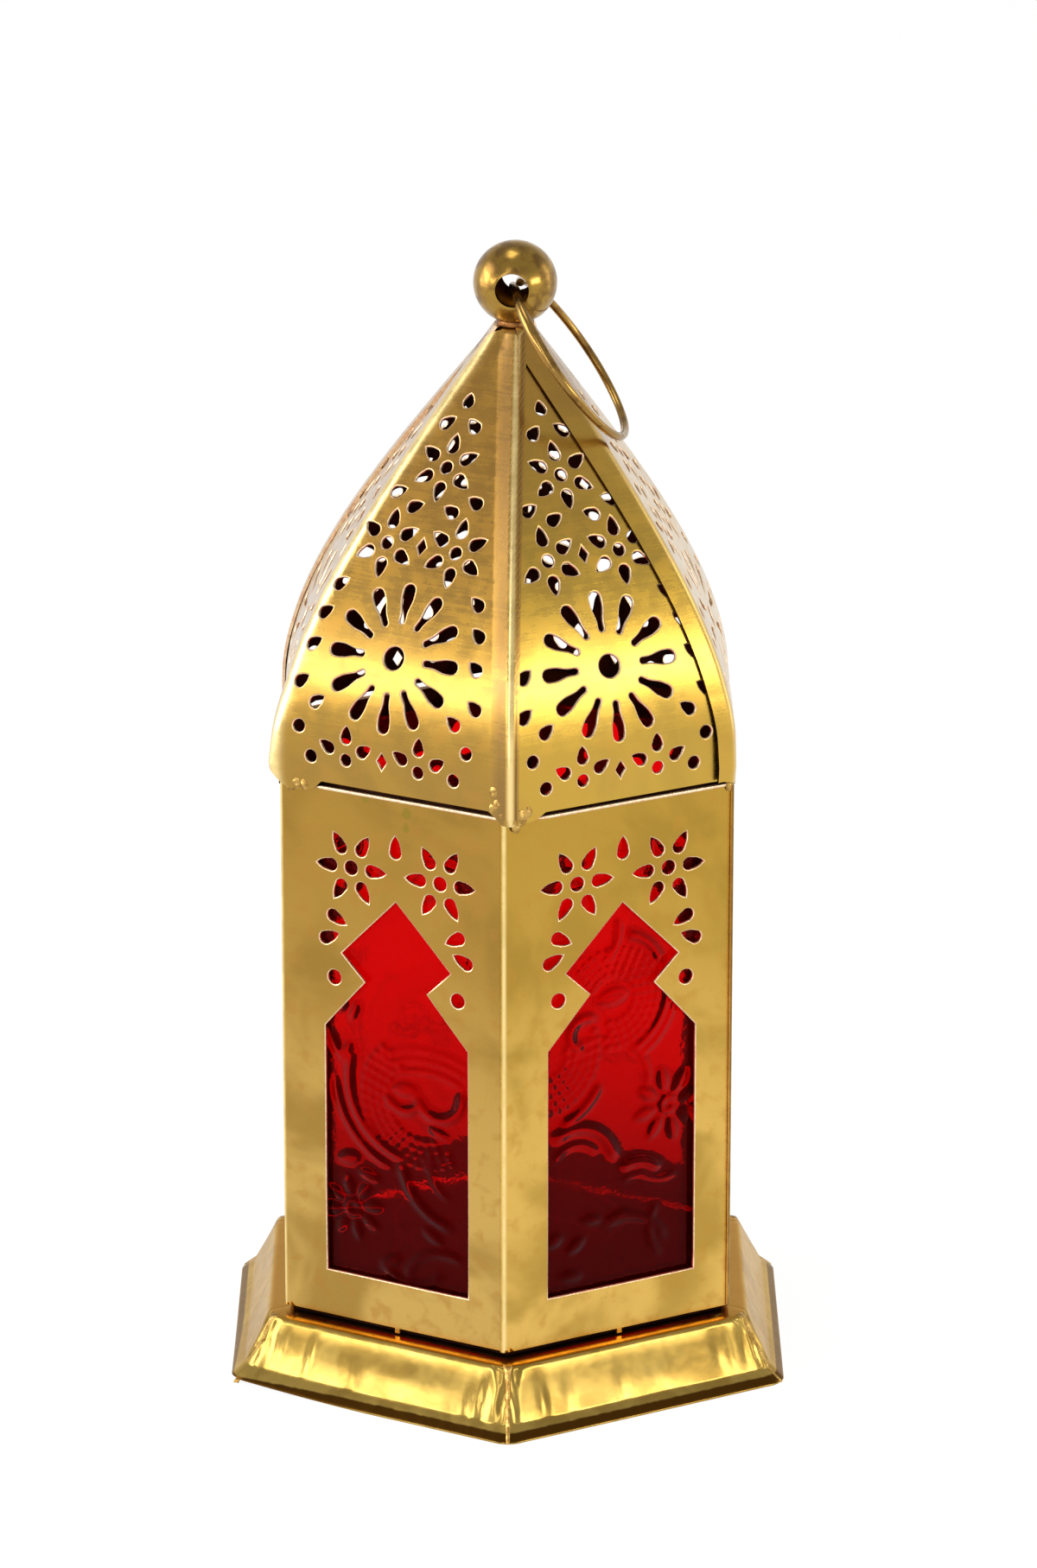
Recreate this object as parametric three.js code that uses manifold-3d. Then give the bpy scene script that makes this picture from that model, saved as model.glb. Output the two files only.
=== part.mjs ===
// Hexagonal pierced-sheet tealight lantern with red pressed-glass panes, a hinged rear door
// and a wire hanging ring. Millimetres, +Z up. The origin is the centre of the footprint on
// the ground, and one corner of the hexagon faces -Y.
import * as THREE from 'three';
import { mergeVertices } from 'three/addons/utils/BufferGeometryUtils.js';
import Module from 'manifold-3d';

const wasm = await Module();
wasm.setup();

// Driving sizes
const SIDES = 6;
const SEAT_GAP = 0.3; // between pieces that rest on or lap each other
const SHEET = 0.5; // thickness of the panels, petals and hinge leaves

const BASE = {
  sheet: 0.6,
  topZ: 11.6,
  lipRadius: 56.8, // corner radius of the foot
  shoulderRadius: 49,
  shoulderInset: 1.6, // the shoulder's small slope
  shoulderDrop: 0.8,
  flank: [{ out: 0.3, down: 0.25 }, { out: 0.65, down: 0.6 }], // shares of the way to the crease
  lipHeight: 1.2,
  lipBreak: { out: 0.45, down: 0.3 }, // where the lip turns down
  creaseHeight: 2.3,
  creaseInset: 3.8, // from the foot in to the crease above the lip
  hemWidth: 3.4, // turned in under the foot
  topFlange: 6, // reaches in under the body
};

const BODY = {
  cornerRadius: 44.9,
  height: 97.2,
  standOff: 1.2, // the body stands on tack tabs above the base
  lapWidth: 1.7, // fold round each corner onto the neighbouring panel
  bendRadius: 1.2,
  tackTabWidth: 5,
};

// Window outline, from the middle of the panel and down from its top edge
const WINDOW = {
  apexDrop: 18,
  shoulderDrop: 29.1,
  shoulderHalf: 11,
  notchDrop: 33.7,
  notchHalf: 6.2,
  jambDrop: 42.9,
  jambHalf: 14.4,
  sillRise: 8.4,
};

// Stamped holes: a drop is a round end with a point at the given distance from its centre
const PANEL_HOLES = {
  flowerAside: 8.9,
  flowerDrop: 13.1,
  petalReach: 4.0,
  dropRadius: 1.15,
  dropPoint: 2.9,
  dotRadius: 1.3,
  dotSides: 6,
  topDropDepth: 8.9,
  sideDrops: [
    { aside: 12.7, depth: 22.4, turn: -27 },
    { aside: 14.5, depth: 26.9, turn: 24 },
  ],
  sideDot: { aside: 12.5, depth: 33.8 },
};

const PETAL_HOLES = {
  dropRadius: 1.1,
  dropPoint: 2.4,
  petalReach: 3.8,
  dotRadius: 1.2,
  dotSides: 6,
  sunburst: {
    along: 0.282, // shares of the petal's length
    slots: 12,
    hub: 2.0,
    hubSides: 8,
    outer: 12.0,
    outerRadius: 1.15,
    inner: 6.5,
    innerRadius: 0.55,
  },
  flowers: [
    { aside: 0, along: 0.687 },
    { aside: 7.1, along: 0.513 },
    { aside: -7.1, along: 0.513 },
  ],
};

const DOME = {
  overhang: 0.5, // of the eave past the body corners
  eaveGap: 0.4, // above the body panels
  bandHeight: 8.3, // upright strip above the eave
  height: 76.4,
  neckRadius: 3.3,
  curvePower: 0.84, // how soon the ogive leaves the upright strip
  lapWidth: 2.0,
  bendRadius: 1.0,
  lapShare: 0.7, // of the half face, the most that a fold covers near the neck
  bendShare: 0.5,
  leastBend: 0.1, // inside a fold
  stations: 12,
};

// The hand-bent top stands a little to +X of the middle
const APEX = { lean: 1.36, power: 2 }; // grows with this power of the share of the dome's height

const FINIAL = { radius: 7.3, holeRadius: 2.85, holeTurn: 5, facets: 16, rows: 10, holeSides: 12 };
const RING = { radius: 16.1, wireRadius: 0.8, looseness: 0.4, wireSides: 6, facets: 36 };
const GLASS = { thickness: 2, overlap: 3.9, below: 4.6, above: 4.2 };
const GLASS_TAB = { height: 5, foot: 2.2, fromEnd: 8 };
const CUP = { innerRadius: 19.7, wall: 0.5, height: 8, facets: 20 };
const DOOR = { edgeGap: 0.15, topGap: 0.6, stopLap: 2.2 };
const HINGE = {
  barrelRadius: 1.5,
  boreRadius: 0.85,
  pinRadius: 0.6,
  standOff: 2.1, // pin axis out from the body corner
  knuckle: 5,
  knuckleGap: 0.4,
  leafWidth: 8,
  pinHead: 1.3,
  headHeight: 0.8,
  pinBelow: 1, // under the lowest knuckle
  knuckleReach: 6, // kept clear of the other leaf round each knuckle
  facets: 10,
  fromEnd: 14,
};
const PULL = { radius: 2.4, stemRadius: 0.9, stemLength: 1.8, sunk: 0.24, neckAngle: 0.4, rows: 5, fromEdge: 5.5 };

const BRASS = { color: 0xc49a45, roughness: 0.34, metalness: 1 };
const AGED_BRASS = { color: 0x8a6a34, roughness: 0.5, metalness: 1 };
const RED_GLASS = { color: 0xc00010, roughness: 0.12, metalness: 0, transparent: true, opacity: 0.6 };

// Sizes that follow from the driving sizes
const HALF_STEP = Math.PI / SIDES;
const TAN = Math.tan(HALF_STEP);
const COS = Math.cos(HALF_STEP);
const SIN_BETWEEN = Math.sin(2 * HALF_STEP);
const COS_BETWEEN = Math.cos(2 * HALF_STEP);
const SLACK = 1; // how far a cutter reaches past what it cuts
const SLOPE_STEP = 0.5; // half the height over which the dome's slope is taken
const DROP_SHOULDER = 0.1; // a drop is widest this share of its radius ahead of its centre
const bodyFace = BODY.cornerRadius * COS;
const bodyHalf = BODY.cornerRadius * Math.sin(HALF_STEP);
const bodyBottom = BASE.topZ + BODY.standOff;
const bodyTop = bodyBottom + BODY.height;
const eaveZ = bodyTop + DOME.eaveGap;
const neckZ = eaveZ + DOME.height;
const neckInside = DOME.neckRadius * COS - 1.5 * SHEET; // the ball rests on the petals' inner edges
const ballSeat = Math.sqrt(FINIAL.radius ** 2 - neckInside ** 2);
const ballZ = neckZ + SEAT_GAP + ballSeat;

// Solids
function toSolid(geometry) {
  const plain = geometry.clone();
  plain.deleteAttribute('normal');
  plain.deleteAttribute('uv');
  const merged = mergeVertices(plain, 1e-5);
  const vertProperties = new Float32Array(merged.attributes.position.array);
  const triVerts = new Uint32Array(merged.index.array);
  return new wasm.Manifold(new wasm.Mesh({ numProp: 3, vertProperties, triVerts }));
}

function toGeometry(solid) {
  const mesh = solid.getMesh();
  const geometry = new THREE.BufferGeometry();
  geometry.setAttribute('position', new THREE.BufferAttribute(mesh.vertProperties, 3));
  geometry.setIndex(new THREE.BufferAttribute(mesh.triVerts, 1));
  return geometry;
}

function shapeOf(points) {
  return new THREE.Shape(points.map(([x, y]) => new THREE.Vector2(x, y)));
}

// Prism that stands on a plan outline
function upright(points, bottom, top) {
  const options = { depth: top - bottom, bevelEnabled: false };
  return new THREE.ExtrudeGeometry(shapeOf(points), options).translate(0, 0, bottom);
}

function box(width, depth, height, x, y, z) {
  return new THREE.BoxGeometry(width, depth, height).translate(x, y, z);
}

// Turned shape about the vertical axis, with a corner towards -Y when it has few facets
function turned(points, facets) {
  const outline = points.map(([r, z]) => new THREE.Vector2(r, z));
  return new THREE.LatheGeometry(outline, facets).rotateX(Math.PI / 2);
}

// Hole outlines, each about its own centre
function round(radius, count) {
  return Array.from({ length: count }, (_, i) => {
    const angle = (2 * Math.PI * (i + 0.5)) / count;
    return [radius * Math.cos(angle), radius * Math.sin(angle)];
  });
}

// A drop with its point along +X
function drop(radius, point) {
  return [[point, 0], [DROP_SHOULDER * radius, radius], [-radius, 0], [DROP_SHOULDER * radius, -radius]];
}

// A slot that widens from its inner to its outer end, along +X from the rosette's centre
function slot({ outer, outerRadius, inner, innerRadius }) {
  return [
    [inner - innerRadius, innerRadius],
    [inner - innerRadius, -innerRadius],
    [outer, -outerRadius],
    [outer + outerRadius, 0],
    [outer, outerRadius],
  ];
}

function moved(points, x, y, degrees = 0) {
  const angle = THREE.MathUtils.degToRad(degrees);
  return points.map(([px, py]) => [
    x + px * Math.cos(angle) - py * Math.sin(angle),
    y + px * Math.sin(angle) + py * Math.cos(angle),
  ]);
}

// Six drops round a centre dot, points outwards
function flower(x, y, { petalReach, dropRadius, dropPoint, dotRadius, dotSides }, firstAngle) {
  const holes = [moved(round(dotRadius, dotSides), x, y)];
  for (let i = 0; i < 6; i += 1) {
    const degrees = firstAngle + 60 * i;
    const angle = THREE.MathUtils.degToRad(degrees);
    const cx = x + petalReach * Math.cos(angle);
    const cy = y + petalReach * Math.sin(angle);
    holes.push(moved(drop(dropRadius, dropPoint), cx, cy, degrees));
  }
  return holes;
}

// Points of an arc that rounds the corner between the lines from before and to after
function rounded(corner, before, after, radius, steps) {
  const at = new THREE.Vector2(...corner);
  const a = new THREE.Vector2(...before).sub(at).normalize();
  const b = new THREE.Vector2(...after).sub(at).normalize();
  const half = a.angleTo(b) / 2;
  const centre = at.clone().addScaledVector(a.clone().add(b).normalize(), radius / Math.sin(half));
  const from = at.clone().addScaledVector(a, radius / Math.tan(half)).sub(centre);
  const to = at.clone().addScaledVector(b, radius / Math.tan(half)).sub(centre);
  const sweep = from.angleTo(to);
  const turn = Math.sign(from.cross(to));
  return Array.from({ length: steps + 1 }, (_, i) => {
    const p = from.clone().rotateAround(new THREE.Vector2(), (turn * sweep * i) / steps).add(centre);
    return [p.x, p.y];
  });
}

// In a face's own frame the face looks towards -Y. This is the point on the plane y = -depth
// that lies at the given distance from the axis on the left-hand neighbour's side.
function leftCorner(depth, neighbourDepth) {
  return [-(neighbourDepth - depth * COS_BETWEEN) / SIN_BETWEEN, -depth];
}

// Plan outline of a sheet whose left edge folds onto or behind its neighbour
function foldedEdge(face, thickness, lapFace, lapWidth, bendRadius) {
  const outer = leftCorner(face, lapFace);
  const inner = leftCorner(face - thickness, lapFace - thickness);
  const along = [-COS_BETWEEN, SIN_BETWEEN];
  const outerEnd = [outer[0] + along[0] * lapWidth, outer[1] + along[1] * lapWidth];
  const innerEnd = [outerEnd[0] + SIN_BETWEEN * thickness, outerEnd[1] + COS_BETWEEN * thickness];
  const outerBend = rounded(outer, [0, outer[1]], outerEnd, bendRadius, 2);
  const innerBend = rounded(inner, innerEnd, [0, inner[1]], bendRadius - thickness, 2);
  return [...outerBend, outerEnd, innerEnd, ...innerBend];
}

function mirrored(points) {
  return points.map(([x, y]) => [-x, y]).reverse();
}

// How far a plain edge stays short of the corner, to pass under the neighbour's fold
function tuckedHalf(face, thickness) {
  return face * TAN - (thickness + SEAT_GAP) / SIN_BETWEEN;
}

// Base moulding: a formed strip, mitred at the corners, open underneath
function baseOutline() {
  const { lipRadius: foot, shoulderRadius: shoulder, topZ: top } = BASE;
  const crease = foot - BASE.creaseInset;
  const flank = BASE.flank.map(({ out, down }) => [
    THREE.MathUtils.lerp(shoulder, crease, out),
    THREE.MathUtils.lerp(top, BASE.creaseHeight, down),
  ]);
  return [
    [BODY.cornerRadius - BASE.topFlange, top],
    [shoulder - BASE.shoulderInset, top],
    [shoulder, top - BASE.shoulderDrop],
    ...flank,
    [crease, BASE.creaseHeight],
    [THREE.MathUtils.lerp(crease, foot, BASE.lipBreak.out), BASE.creaseHeight - BASE.lipBreak.down],
    [foot, BASE.lipHeight],
    [foot, 0],
    [foot - BASE.hemWidth, 0],
  ];
}

// Closed outline of a bent sheet, from its outer side given as corner radius and height
function sheetOutline(points, thickness) {
  const flat = points.map(([r, z]) => new THREE.Vector2(r * COS, z));
  const normals = flat.slice(1).map((p, i) => {
    const d = p.clone().sub(flat[i]).normalize();
    return new THREE.Vector2(d.y, -d.x);
  });
  const inner = flat.map((p, i) => {
    const n0 = normals[Math.max(i - 1, 0)];
    const n1 = normals[Math.min(i, normals.length - 1)];
    const mid = n0.clone().add(n1).normalize();
    const q = p.clone().addScaledVector(mid, thickness / mid.dot(n0));
    return [q.x / COS, q.y];
  });
  const outer = points.map(([r, z]) => [r, z]);
  return [...outer, ...inner.reverse(), outer[0]];
}

function baseMoulding() {
  return turned(sheetOutline(baseOutline(), BASE.sheet).reverse(), SIDES);
}

const floorRadius = BODY.cornerRadius - (SHEET + SEAT_GAP) / COS;
const floorZ = BASE.topZ + SEAT_GAP;
const floorTop = floorZ + BASE.sheet;

function floorPlate() {
  return turned([[0, floorZ], [floorRadius, floorZ], [floorRadius, floorTop], [0, floorTop]], SIDES);
}

function tealightCup() {
  const bottom = floorTop + SEAT_GAP;
  const rim = bottom + CUP.height;
  const outer = CUP.innerRadius + CUP.wall;
  const inside = CUP.innerRadius;
  const points = [[0, bottom], [outer, bottom], [outer, rim], [inside, rim], [inside, bottom + CUP.wall]];
  return turned([...points, [0, bottom + CUP.wall]], CUP.facets);
}

// Body panels
function windowOutline(bottom, top) {
  const half = [
    [WINDOW.jambHalf, bottom + WINDOW.sillRise],
    [WINDOW.jambHalf, top - WINDOW.jambDrop],
    [WINDOW.notchHalf, top - WINDOW.notchDrop],
    [WINDOW.shoulderHalf, top - WINDOW.shoulderDrop],
  ];
  return [...half, [0, top - WINDOW.apexDrop], ...mirrored(half)];
}

function panelHoles(top) {
  const holes = [];
  for (const side of [-1, 1]) {
    holes.push(...flower(side * PANEL_HOLES.flowerAside, top - PANEL_HOLES.flowerDrop, PANEL_HOLES, 0));
    for (const { aside, depth, turn } of PANEL_HOLES.sideDrops) {
      const degrees = side > 0 ? 180 - turn : turn;
      const shape = drop(PANEL_HOLES.dropRadius, PANEL_HOLES.dropPoint);
      holes.push(moved(shape, side * aside, top - depth, degrees));
    }
    const { aside, depth } = PANEL_HOLES.sideDot;
    holes.push(moved(round(PANEL_HOLES.dotRadius, PANEL_HOLES.dotSides), side * aside, top - depth));
  }
  holes.push(moved(drop(PANEL_HOLES.dropRadius, PANEL_HOLES.dropPoint), 0, top - PANEL_HOLES.topDropDepth, 90));
  return holes;
}

// Prism that cuts an outline of the panel's face out of its sheet
function faceCutter(points) {
  const options = { depth: SHEET + 2 * SLACK, bevelEnabled: false };
  const prism = new THREE.ExtrudeGeometry(shapeOf(points), options).rotateX(Math.PI / 2);
  return toSolid(prism.translate(0, -(bodyFace - SHEET - SLACK), 0));
}

const insideFace = bodyFace - SHEET - SEAT_GAP; // plane of what lies behind a panel
const paneHalf = WINDOW.jambHalf + GLASS.overlap;
const paneFront = insideFace;
const paneBack = paneFront - GLASS.thickness;
const paneBottom = bodyBottom + WINDOW.sillRise - GLASS.below;
const paneTop = bodyTop - GLASS.above;

// Tabs bent inwards round the pane's edges
function glassTabs() {
  const tab = [
    [paneHalf + SEAT_GAP, -(bodyFace - SHEET / 2)],
    [paneHalf + SEAT_GAP + SHEET, -(bodyFace - SHEET / 2)],
    [paneHalf + SEAT_GAP + SHEET, -(paneBack - SEAT_GAP - SHEET)],
    [paneHalf - GLASS_TAB.foot, -(paneBack - SEAT_GAP - SHEET)],
    [paneHalf - GLASS_TAB.foot, -(paneBack - SEAT_GAP)],
    [paneHalf + SEAT_GAP, -(paneBack - SEAT_GAP)],
  ];
  const tabs = [];
  for (const outline of [tab, mirrored(tab)]) {
    for (const z of [paneBottom + GLASS_TAB.fromEnd, paneTop - GLASS_TAB.fromEnd - GLASS_TAB.height]) {
      tabs.push(toSolid(upright(outline, z, z + GLASS_TAB.height)));
    }
  }
  return tabs;
}

function tackTab() {
  const bottom = BASE.topZ + SEAT_GAP;
  const top = bodyBottom + SLACK;
  const middle = (bottom + top) / 2;
  return toSolid(box(BODY.tackTabWidth, SHEET, top - bottom, 0, -(bodyFace - SHEET / 2), middle));
}

function pierced(blank, bottom, top) {
  const cutters = [windowOutline(bottom, top), ...panelHoles(bodyTop)].map(faceCutter);
  return glassTabs().reduce((solid, tab) => solid.add(tab), cutters.reduce((s, c) => s.subtract(c), blank));
}

function fixedPanel(stopsDoor) {
  const lapFace = stopsDoor ? insideFace : bodyFace + SEAT_GAP + SHEET;
  const lapWidth = stopsDoor ? DOOR.stopLap : BODY.lapWidth;
  const right = tuckedHalf(bodyFace, SHEET);
  const outline = [
    [right, -bodyFace],
    ...foldedEdge(bodyFace, SHEET, lapFace, lapWidth, BODY.bendRadius),
    [right, -(bodyFace - SHEET)],
  ];
  const blank = toSolid(upright([...outline].reverse(), bodyBottom, bodyTop)).add(tackTab());
  return toGeometry(pierced(blank, bodyBottom, bodyTop));
}

function doorPanel() {
  const bottom = bodyBottom + DOOR.topGap;
  const top = bodyTop - DOOR.topGap;
  const width = 2 * (bodyHalf - DOOR.edgeGap);
  const sheet = box(width, SHEET, top - bottom, 0, -(bodyFace - SHEET / 2), (bottom + top) / 2);
  return toGeometry(pierced(toSolid(sheet), bodyBottom, bodyTop));
}

function pane() {
  const height = paneTop - paneBottom;
  return box(2 * paneHalf, GLASS.thickness, height, 0, -(paneFront + paneBack) / 2, (paneTop + paneBottom) / 2);
}

// Dome petals: upright at the eave, then an ogive up to the neck
const eaveRadius = BODY.cornerRadius + DOME.overhang;

function domeRadius(z) {
  const start = eaveZ + DOME.bandHeight;
  const t = THREE.MathUtils.clamp((z - start) / (neckZ - start), 0, 1);
  return DOME.neckRadius + (eaveRadius - DOME.neckRadius) * Math.cos((Math.PI / 2) * t ** DOME.curvePower);
}

function domeFace(z) {
  return domeRadius(z) * COS;
}

const stationHeights = [eaveZ];
for (let i = 0; i <= DOME.stations; i += 1) {
  stationHeights.push(THREE.MathUtils.lerp(eaveZ + DOME.bandHeight, neckZ, i / DOME.stations));
}

// Distance along the sheet from the eave to each station
const stationLengths = [0];
for (let i = 1; i < stationHeights.length; i += 1) {
  const rise = stationHeights[i] - stationHeights[i - 1];
  const run = domeFace(stationHeights[i]) - domeFace(stationHeights[i - 1]);
  stationLengths.push(stationLengths[i - 1] + Math.hypot(rise, run));
}
const petalLength = stationLengths.at(-1);

// Height and direction of the sheet at a distance along it
function alongPetal(distance) {
  let i = 1;
  while (i < stationLengths.length - 1 && stationLengths[i] < distance) i += 1;
  const length = stationLengths[i] - stationLengths[i - 1];
  const share = (distance - stationLengths[i - 1]) / length;
  const z0 = stationHeights[i - 1];
  const z1 = stationHeights[i];
  const run = domeFace(z1) - domeFace(z0);
  return {
    z: THREE.MathUtils.lerp(z0, z1, share),
    face: domeFace(z0) + run * share,
    up: new THREE.Vector3(0, -run, z1 - z0).normalize(),
  };
}

// Lofts equal plan outlines at rising heights into one closed solid
function loft(sections) {
  const count = sections[0].length;
  const positions = sections.flat().flatMap((p) => [p.x, p.y, p.z]);
  const index = [];
  for (let s = 0; s < sections.length - 1; s += 1) {
    for (let i = 0; i < count; i += 1) {
      const a = s * count + i;
      const b = s * count + ((i + 1) % count);
      index.push(a, b, b + count, a, b + count, a + count);
    }
  }
  const cap = (section) => THREE.ShapeUtils.triangulateShape(section.map((p) => new THREE.Vector2(p.x, p.y)), []);
  for (const [a, b, c] of cap(sections[0])) index.push(c, b, a);
  const top = (sections.length - 1) * count;
  for (const [a, b, c] of cap(sections.at(-1))) index.push(top + a, top + b, top + c);
  const geometry = new THREE.BufferGeometry();
  geometry.setAttribute('position', new THREE.Float32BufferAttribute(positions, 3));
  geometry.setIndex(index);
  return geometry;
}

function petalSection(z, lapsOver) {
  const face = domeFace(z);
  const above = domeFace(Math.min(z + SLOPE_STEP, neckZ));
  const below = domeFace(Math.max(z - SLOPE_STEP, eaveZ));
  const thickness = SHEET * Math.hypot(1, (above - below) / (2 * SLOPE_STEP));
  const half = tuckedHalf(face, thickness);
  if (!lapsOver) {
    return [[half, -face], [half, -(face - thickness)], [-half, -(face - thickness)], [-half, -face]];
  }
  const lapWidth = Math.min(DOME.lapWidth, face * TAN * DOME.lapShare);
  const bend = Math.max(Math.min(DOME.bendRadius, face * TAN * DOME.bendShare), thickness + DOME.leastBend);
  const left = foldedEdge(face, thickness, face + SEAT_GAP + thickness, lapWidth, bend);
  return [...left, ...mirrored(left)].reverse();
}

function petalHoles() {
  const { sunburst, flowers } = PETAL_HOLES;
  const centre = sunburst.along * petalLength;
  const holes = [moved(round(sunburst.hub, sunburst.hubSides), 0, centre)];
  for (let i = 0; i < sunburst.slots; i += 1) {
    holes.push(moved(slot(sunburst), 0, centre, (360 / sunburst.slots) * i));
  }
  for (const { aside, along } of flowers) holes.push(...flower(aside, along * petalLength, PETAL_HOLES, 90));
  return holes;
}

// Prism that cuts an outline, drawn on the flattened petal, square through the curved sheet
function petalCutter(points) {
  const x = points.reduce((sum, p) => sum + p[0], 0) / points.length;
  const s = points.reduce((sum, p) => sum + p[1], 0) / points.length;
  const { z, face, up } = alongPetal(s);
  const across = new THREE.Vector3(1, 0, 0);
  const place = new THREE.Matrix4().makeBasis(across, up, across.clone().cross(up));
  place.setPosition(x, -face, z);
  const options = { depth: SHEET + 2 * SLACK, bevelEnabled: false };
  const local = points.map(([px, py]) => [px - x, py - s]);
  const prism = new THREE.ExtrudeGeometry(shapeOf(local), options).translate(0, 0, -SHEET - SLACK);
  return toSolid(prism.applyMatrix4(place));
}

const petalCutters = petalHoles().map(petalCutter);

function petal(lapsOver) {
  const sections = stationHeights.map((z) => petalSection(z, lapsOver).map(([x, y]) => new THREE.Vector3(x, y, z)));
  return toGeometry(petalCutters.reduce((solid, cutter) => solid.subtract(cutter), toSolid(loft(sections))));
}

// How far the dome stands to +X at a height
function leanAt(z) {
  return APEX.lean * THREE.MathUtils.clamp((z - eaveZ) / DOME.height, 0, 1) ** APEX.power;
}

// Shifts a petal with the lean, in the frame of its own face
function leaned(geometry, turn) {
  const points = geometry.getAttribute('position');
  for (let i = 0; i < points.count; i += 1) {
    const lean = leanAt(points.getZ(i));
    points.setX(i, points.getX(i) + lean * Math.cos(turn));
    points.setY(i, points.getY(i) - lean * Math.sin(turn));
  }
  return geometry;
}

// Finial ball with the hanging ring's hole through it, front to back
function finialBall() {
  const { radius, holeRadius, facets, rows, holeSides } = FINIAL;
  const ball = toSolid(new THREE.SphereGeometry(radius, facets, rows).rotateX(Math.PI / 2));
  const drill = new THREE.CylinderGeometry(holeRadius, holeRadius, 2 * (radius + SLACK), holeSides);
  return toGeometry(ball.subtract(toSolid(drill)));
}

// Points of the ring's centre line in the frame of the ball's hole, at an angle below level
function ringPoint(lean, around) {
  const out = RING.looseness + RING.radius * (1 + Math.cos(around));
  return new THREE.Vector3(out * Math.cos(lean), RING.radius * Math.sin(around), -out * Math.sin(lean));
}

const RING_STEP = Math.PI / 60; // between the ring's points that are measured
const LEAN_STEP = THREE.MathUtils.degToRad(0.25); // by which the ring is lowered

// Nearest that the ring comes to the dome's faces at a lean
function ringClearance(lean) {
  let nearest = Infinity;
  const turn = THREE.MathUtils.degToRad(-FINIAL.holeTurn);
  for (let around = -Math.PI / 2; around <= Math.PI / 2; around += RING_STEP) {
    const p = ringPoint(lean, around).applyAxisAngle(new THREE.Vector3(0, 0, 1), turn);
    const z = ballZ + p.z;
    if (z > neckZ) continue;
    const x = p.x + APEX.lean - leanAt(z);
    const slope = (domeFace(z - SLOPE_STEP) - domeFace(z + SLOPE_STEP)) / (2 * SLOPE_STEP);
    let outside = -Infinity;
    for (let i = 0; i < SIDES; i += 1) {
      const angle = 2 * HALF_STEP * i;
      outside = Math.max(outside, x * Math.cos(angle) + p.y * Math.sin(angle) - domeFace(z));
    }
    nearest = Math.min(nearest, outside / Math.hypot(1, slope));
  }
  return nearest - RING.wireRadius;
}

// The ring lies against the dome: lowered from level until it meets the petals' folds
function restingLean() {
  const foldHeight = SHEET + SEAT_GAP;
  let lean = 0;
  while (lean < Math.PI / 2 && ringClearance(lean + LEAN_STEP) > foldHeight + SEAT_GAP) lean += LEAN_STEP;
  return lean;
}

function hangingRing() {
  const ring = new THREE.TorusGeometry(RING.radius, RING.wireRadius, RING.wireSides, RING.facets);
  ring.translate(RING.looseness + RING.radius, 0, 0);
  return ring.rotateY(restingLean());
}

// Door hinges, in the frame of the hinge corner: +X points out of the corner at the pin axis
function barrel(bottom, top) {
  const { barrelRadius, boreRadius, facets } = HINGE;
  const points = [[boreRadius, bottom], [barrelRadius, bottom], [barrelRadius, top], [boreRadius, top]];
  return toSolid(turned([...points, points[0]], facets));
}

const pinRadiusFromAxis = BODY.cornerRadius + HINGE.standOff;

// Plate from the barrel onto the outside of a panel: side 1 is the door's, side -1 the fixed one's
function leafPlate(side) {
  const along = side * (Math.PI / 2 + HALF_STEP);
  const out = side * HALF_STEP;
  const low = bodyFace + SEAT_GAP - pinRadiusFromAxis * COS; // from the pin axis to the plate
  const corners = [[0, low], [HINGE.leafWidth, low], [HINGE.leafWidth, low + SHEET], [0, low + SHEET]];
  const plan = corners.map(([a, o]) => [
    a * Math.cos(along) + o * Math.cos(out),
    a * Math.sin(along) + o * Math.sin(out),
  ]);
  return toSolid(upright(plan, 0, hingeHeight));
}

function pinHole(bottom, top) {
  const length = top - bottom + 2 * SLACK;
  const hole = new THREE.CylinderGeometry(HINGE.boreRadius, HINGE.boreRadius, length, HINGE.facets);
  return toSolid(hole.rotateX(Math.PI / 2).translate(0, 0, (bottom + top) / 2));
}

// Knuckle heights of a hinge, counted from its bottom
const knuckleBottoms = [0, 1, 2].map((i) => i * (HINGE.knuckle + HINGE.knuckleGap));
const hingeHeight = knuckleBottoms[2] + HINGE.knuckle;

// Leaf with its own knuckles, cut clear of the other leaf's
function hingeLeaf(side, own, others) {
  const reach = HINGE.knuckleReach;
  let leaf = leafPlate(side);
  for (const bottom of others) {
    const height = HINGE.knuckle + 2 * HINGE.knuckleGap;
    leaf = leaf.subtract(toSolid(box(reach, reach, height, 0, 0, bottom + HINGE.knuckle / 2)));
  }
  for (const bottom of own) leaf = leaf.add(barrel(bottom, bottom + HINGE.knuckle));
  return toGeometry(leaf.subtract(pinHole(0, hingeHeight)));
}

function fixedLeaf() {
  return hingeLeaf(-1, [knuckleBottoms[0], knuckleBottoms[2]], [knuckleBottoms[1]]);
}

function doorLeaf() {
  return hingeLeaf(1, [knuckleBottoms[1]], [knuckleBottoms[0], knuckleBottoms[2]]);
}

function hingePin() {
  const { pinRadius, pinHead, headHeight, pinBelow, facets } = HINGE;
  const top = hingeHeight + SEAT_GAP;
  const shank = [[0, -pinBelow], [pinRadius, -pinBelow], [pinRadius, top]];
  return turned([...shank, [pinHead, top], [pinHead, top + headHeight], [0, top + headHeight]], facets);
}

function doorPull() {
  const { radius, stemRadius, stemLength, sunk, neckAngle, rows } = PULL;
  const points = [[0, 0], [stemRadius, 0], [stemRadius, stemLength]];
  for (let i = 1; i <= rows; i += 1) {
    const angle = -Math.PI / 2 + neckAngle + ((Math.PI - neckAngle) * i) / rows;
    points.push([i === rows ? 0 : radius * Math.cos(angle), stemLength - sunk + radius * (1 + Math.sin(angle))]);
  }
  return turned(points, HINGE.facets);
}

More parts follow.
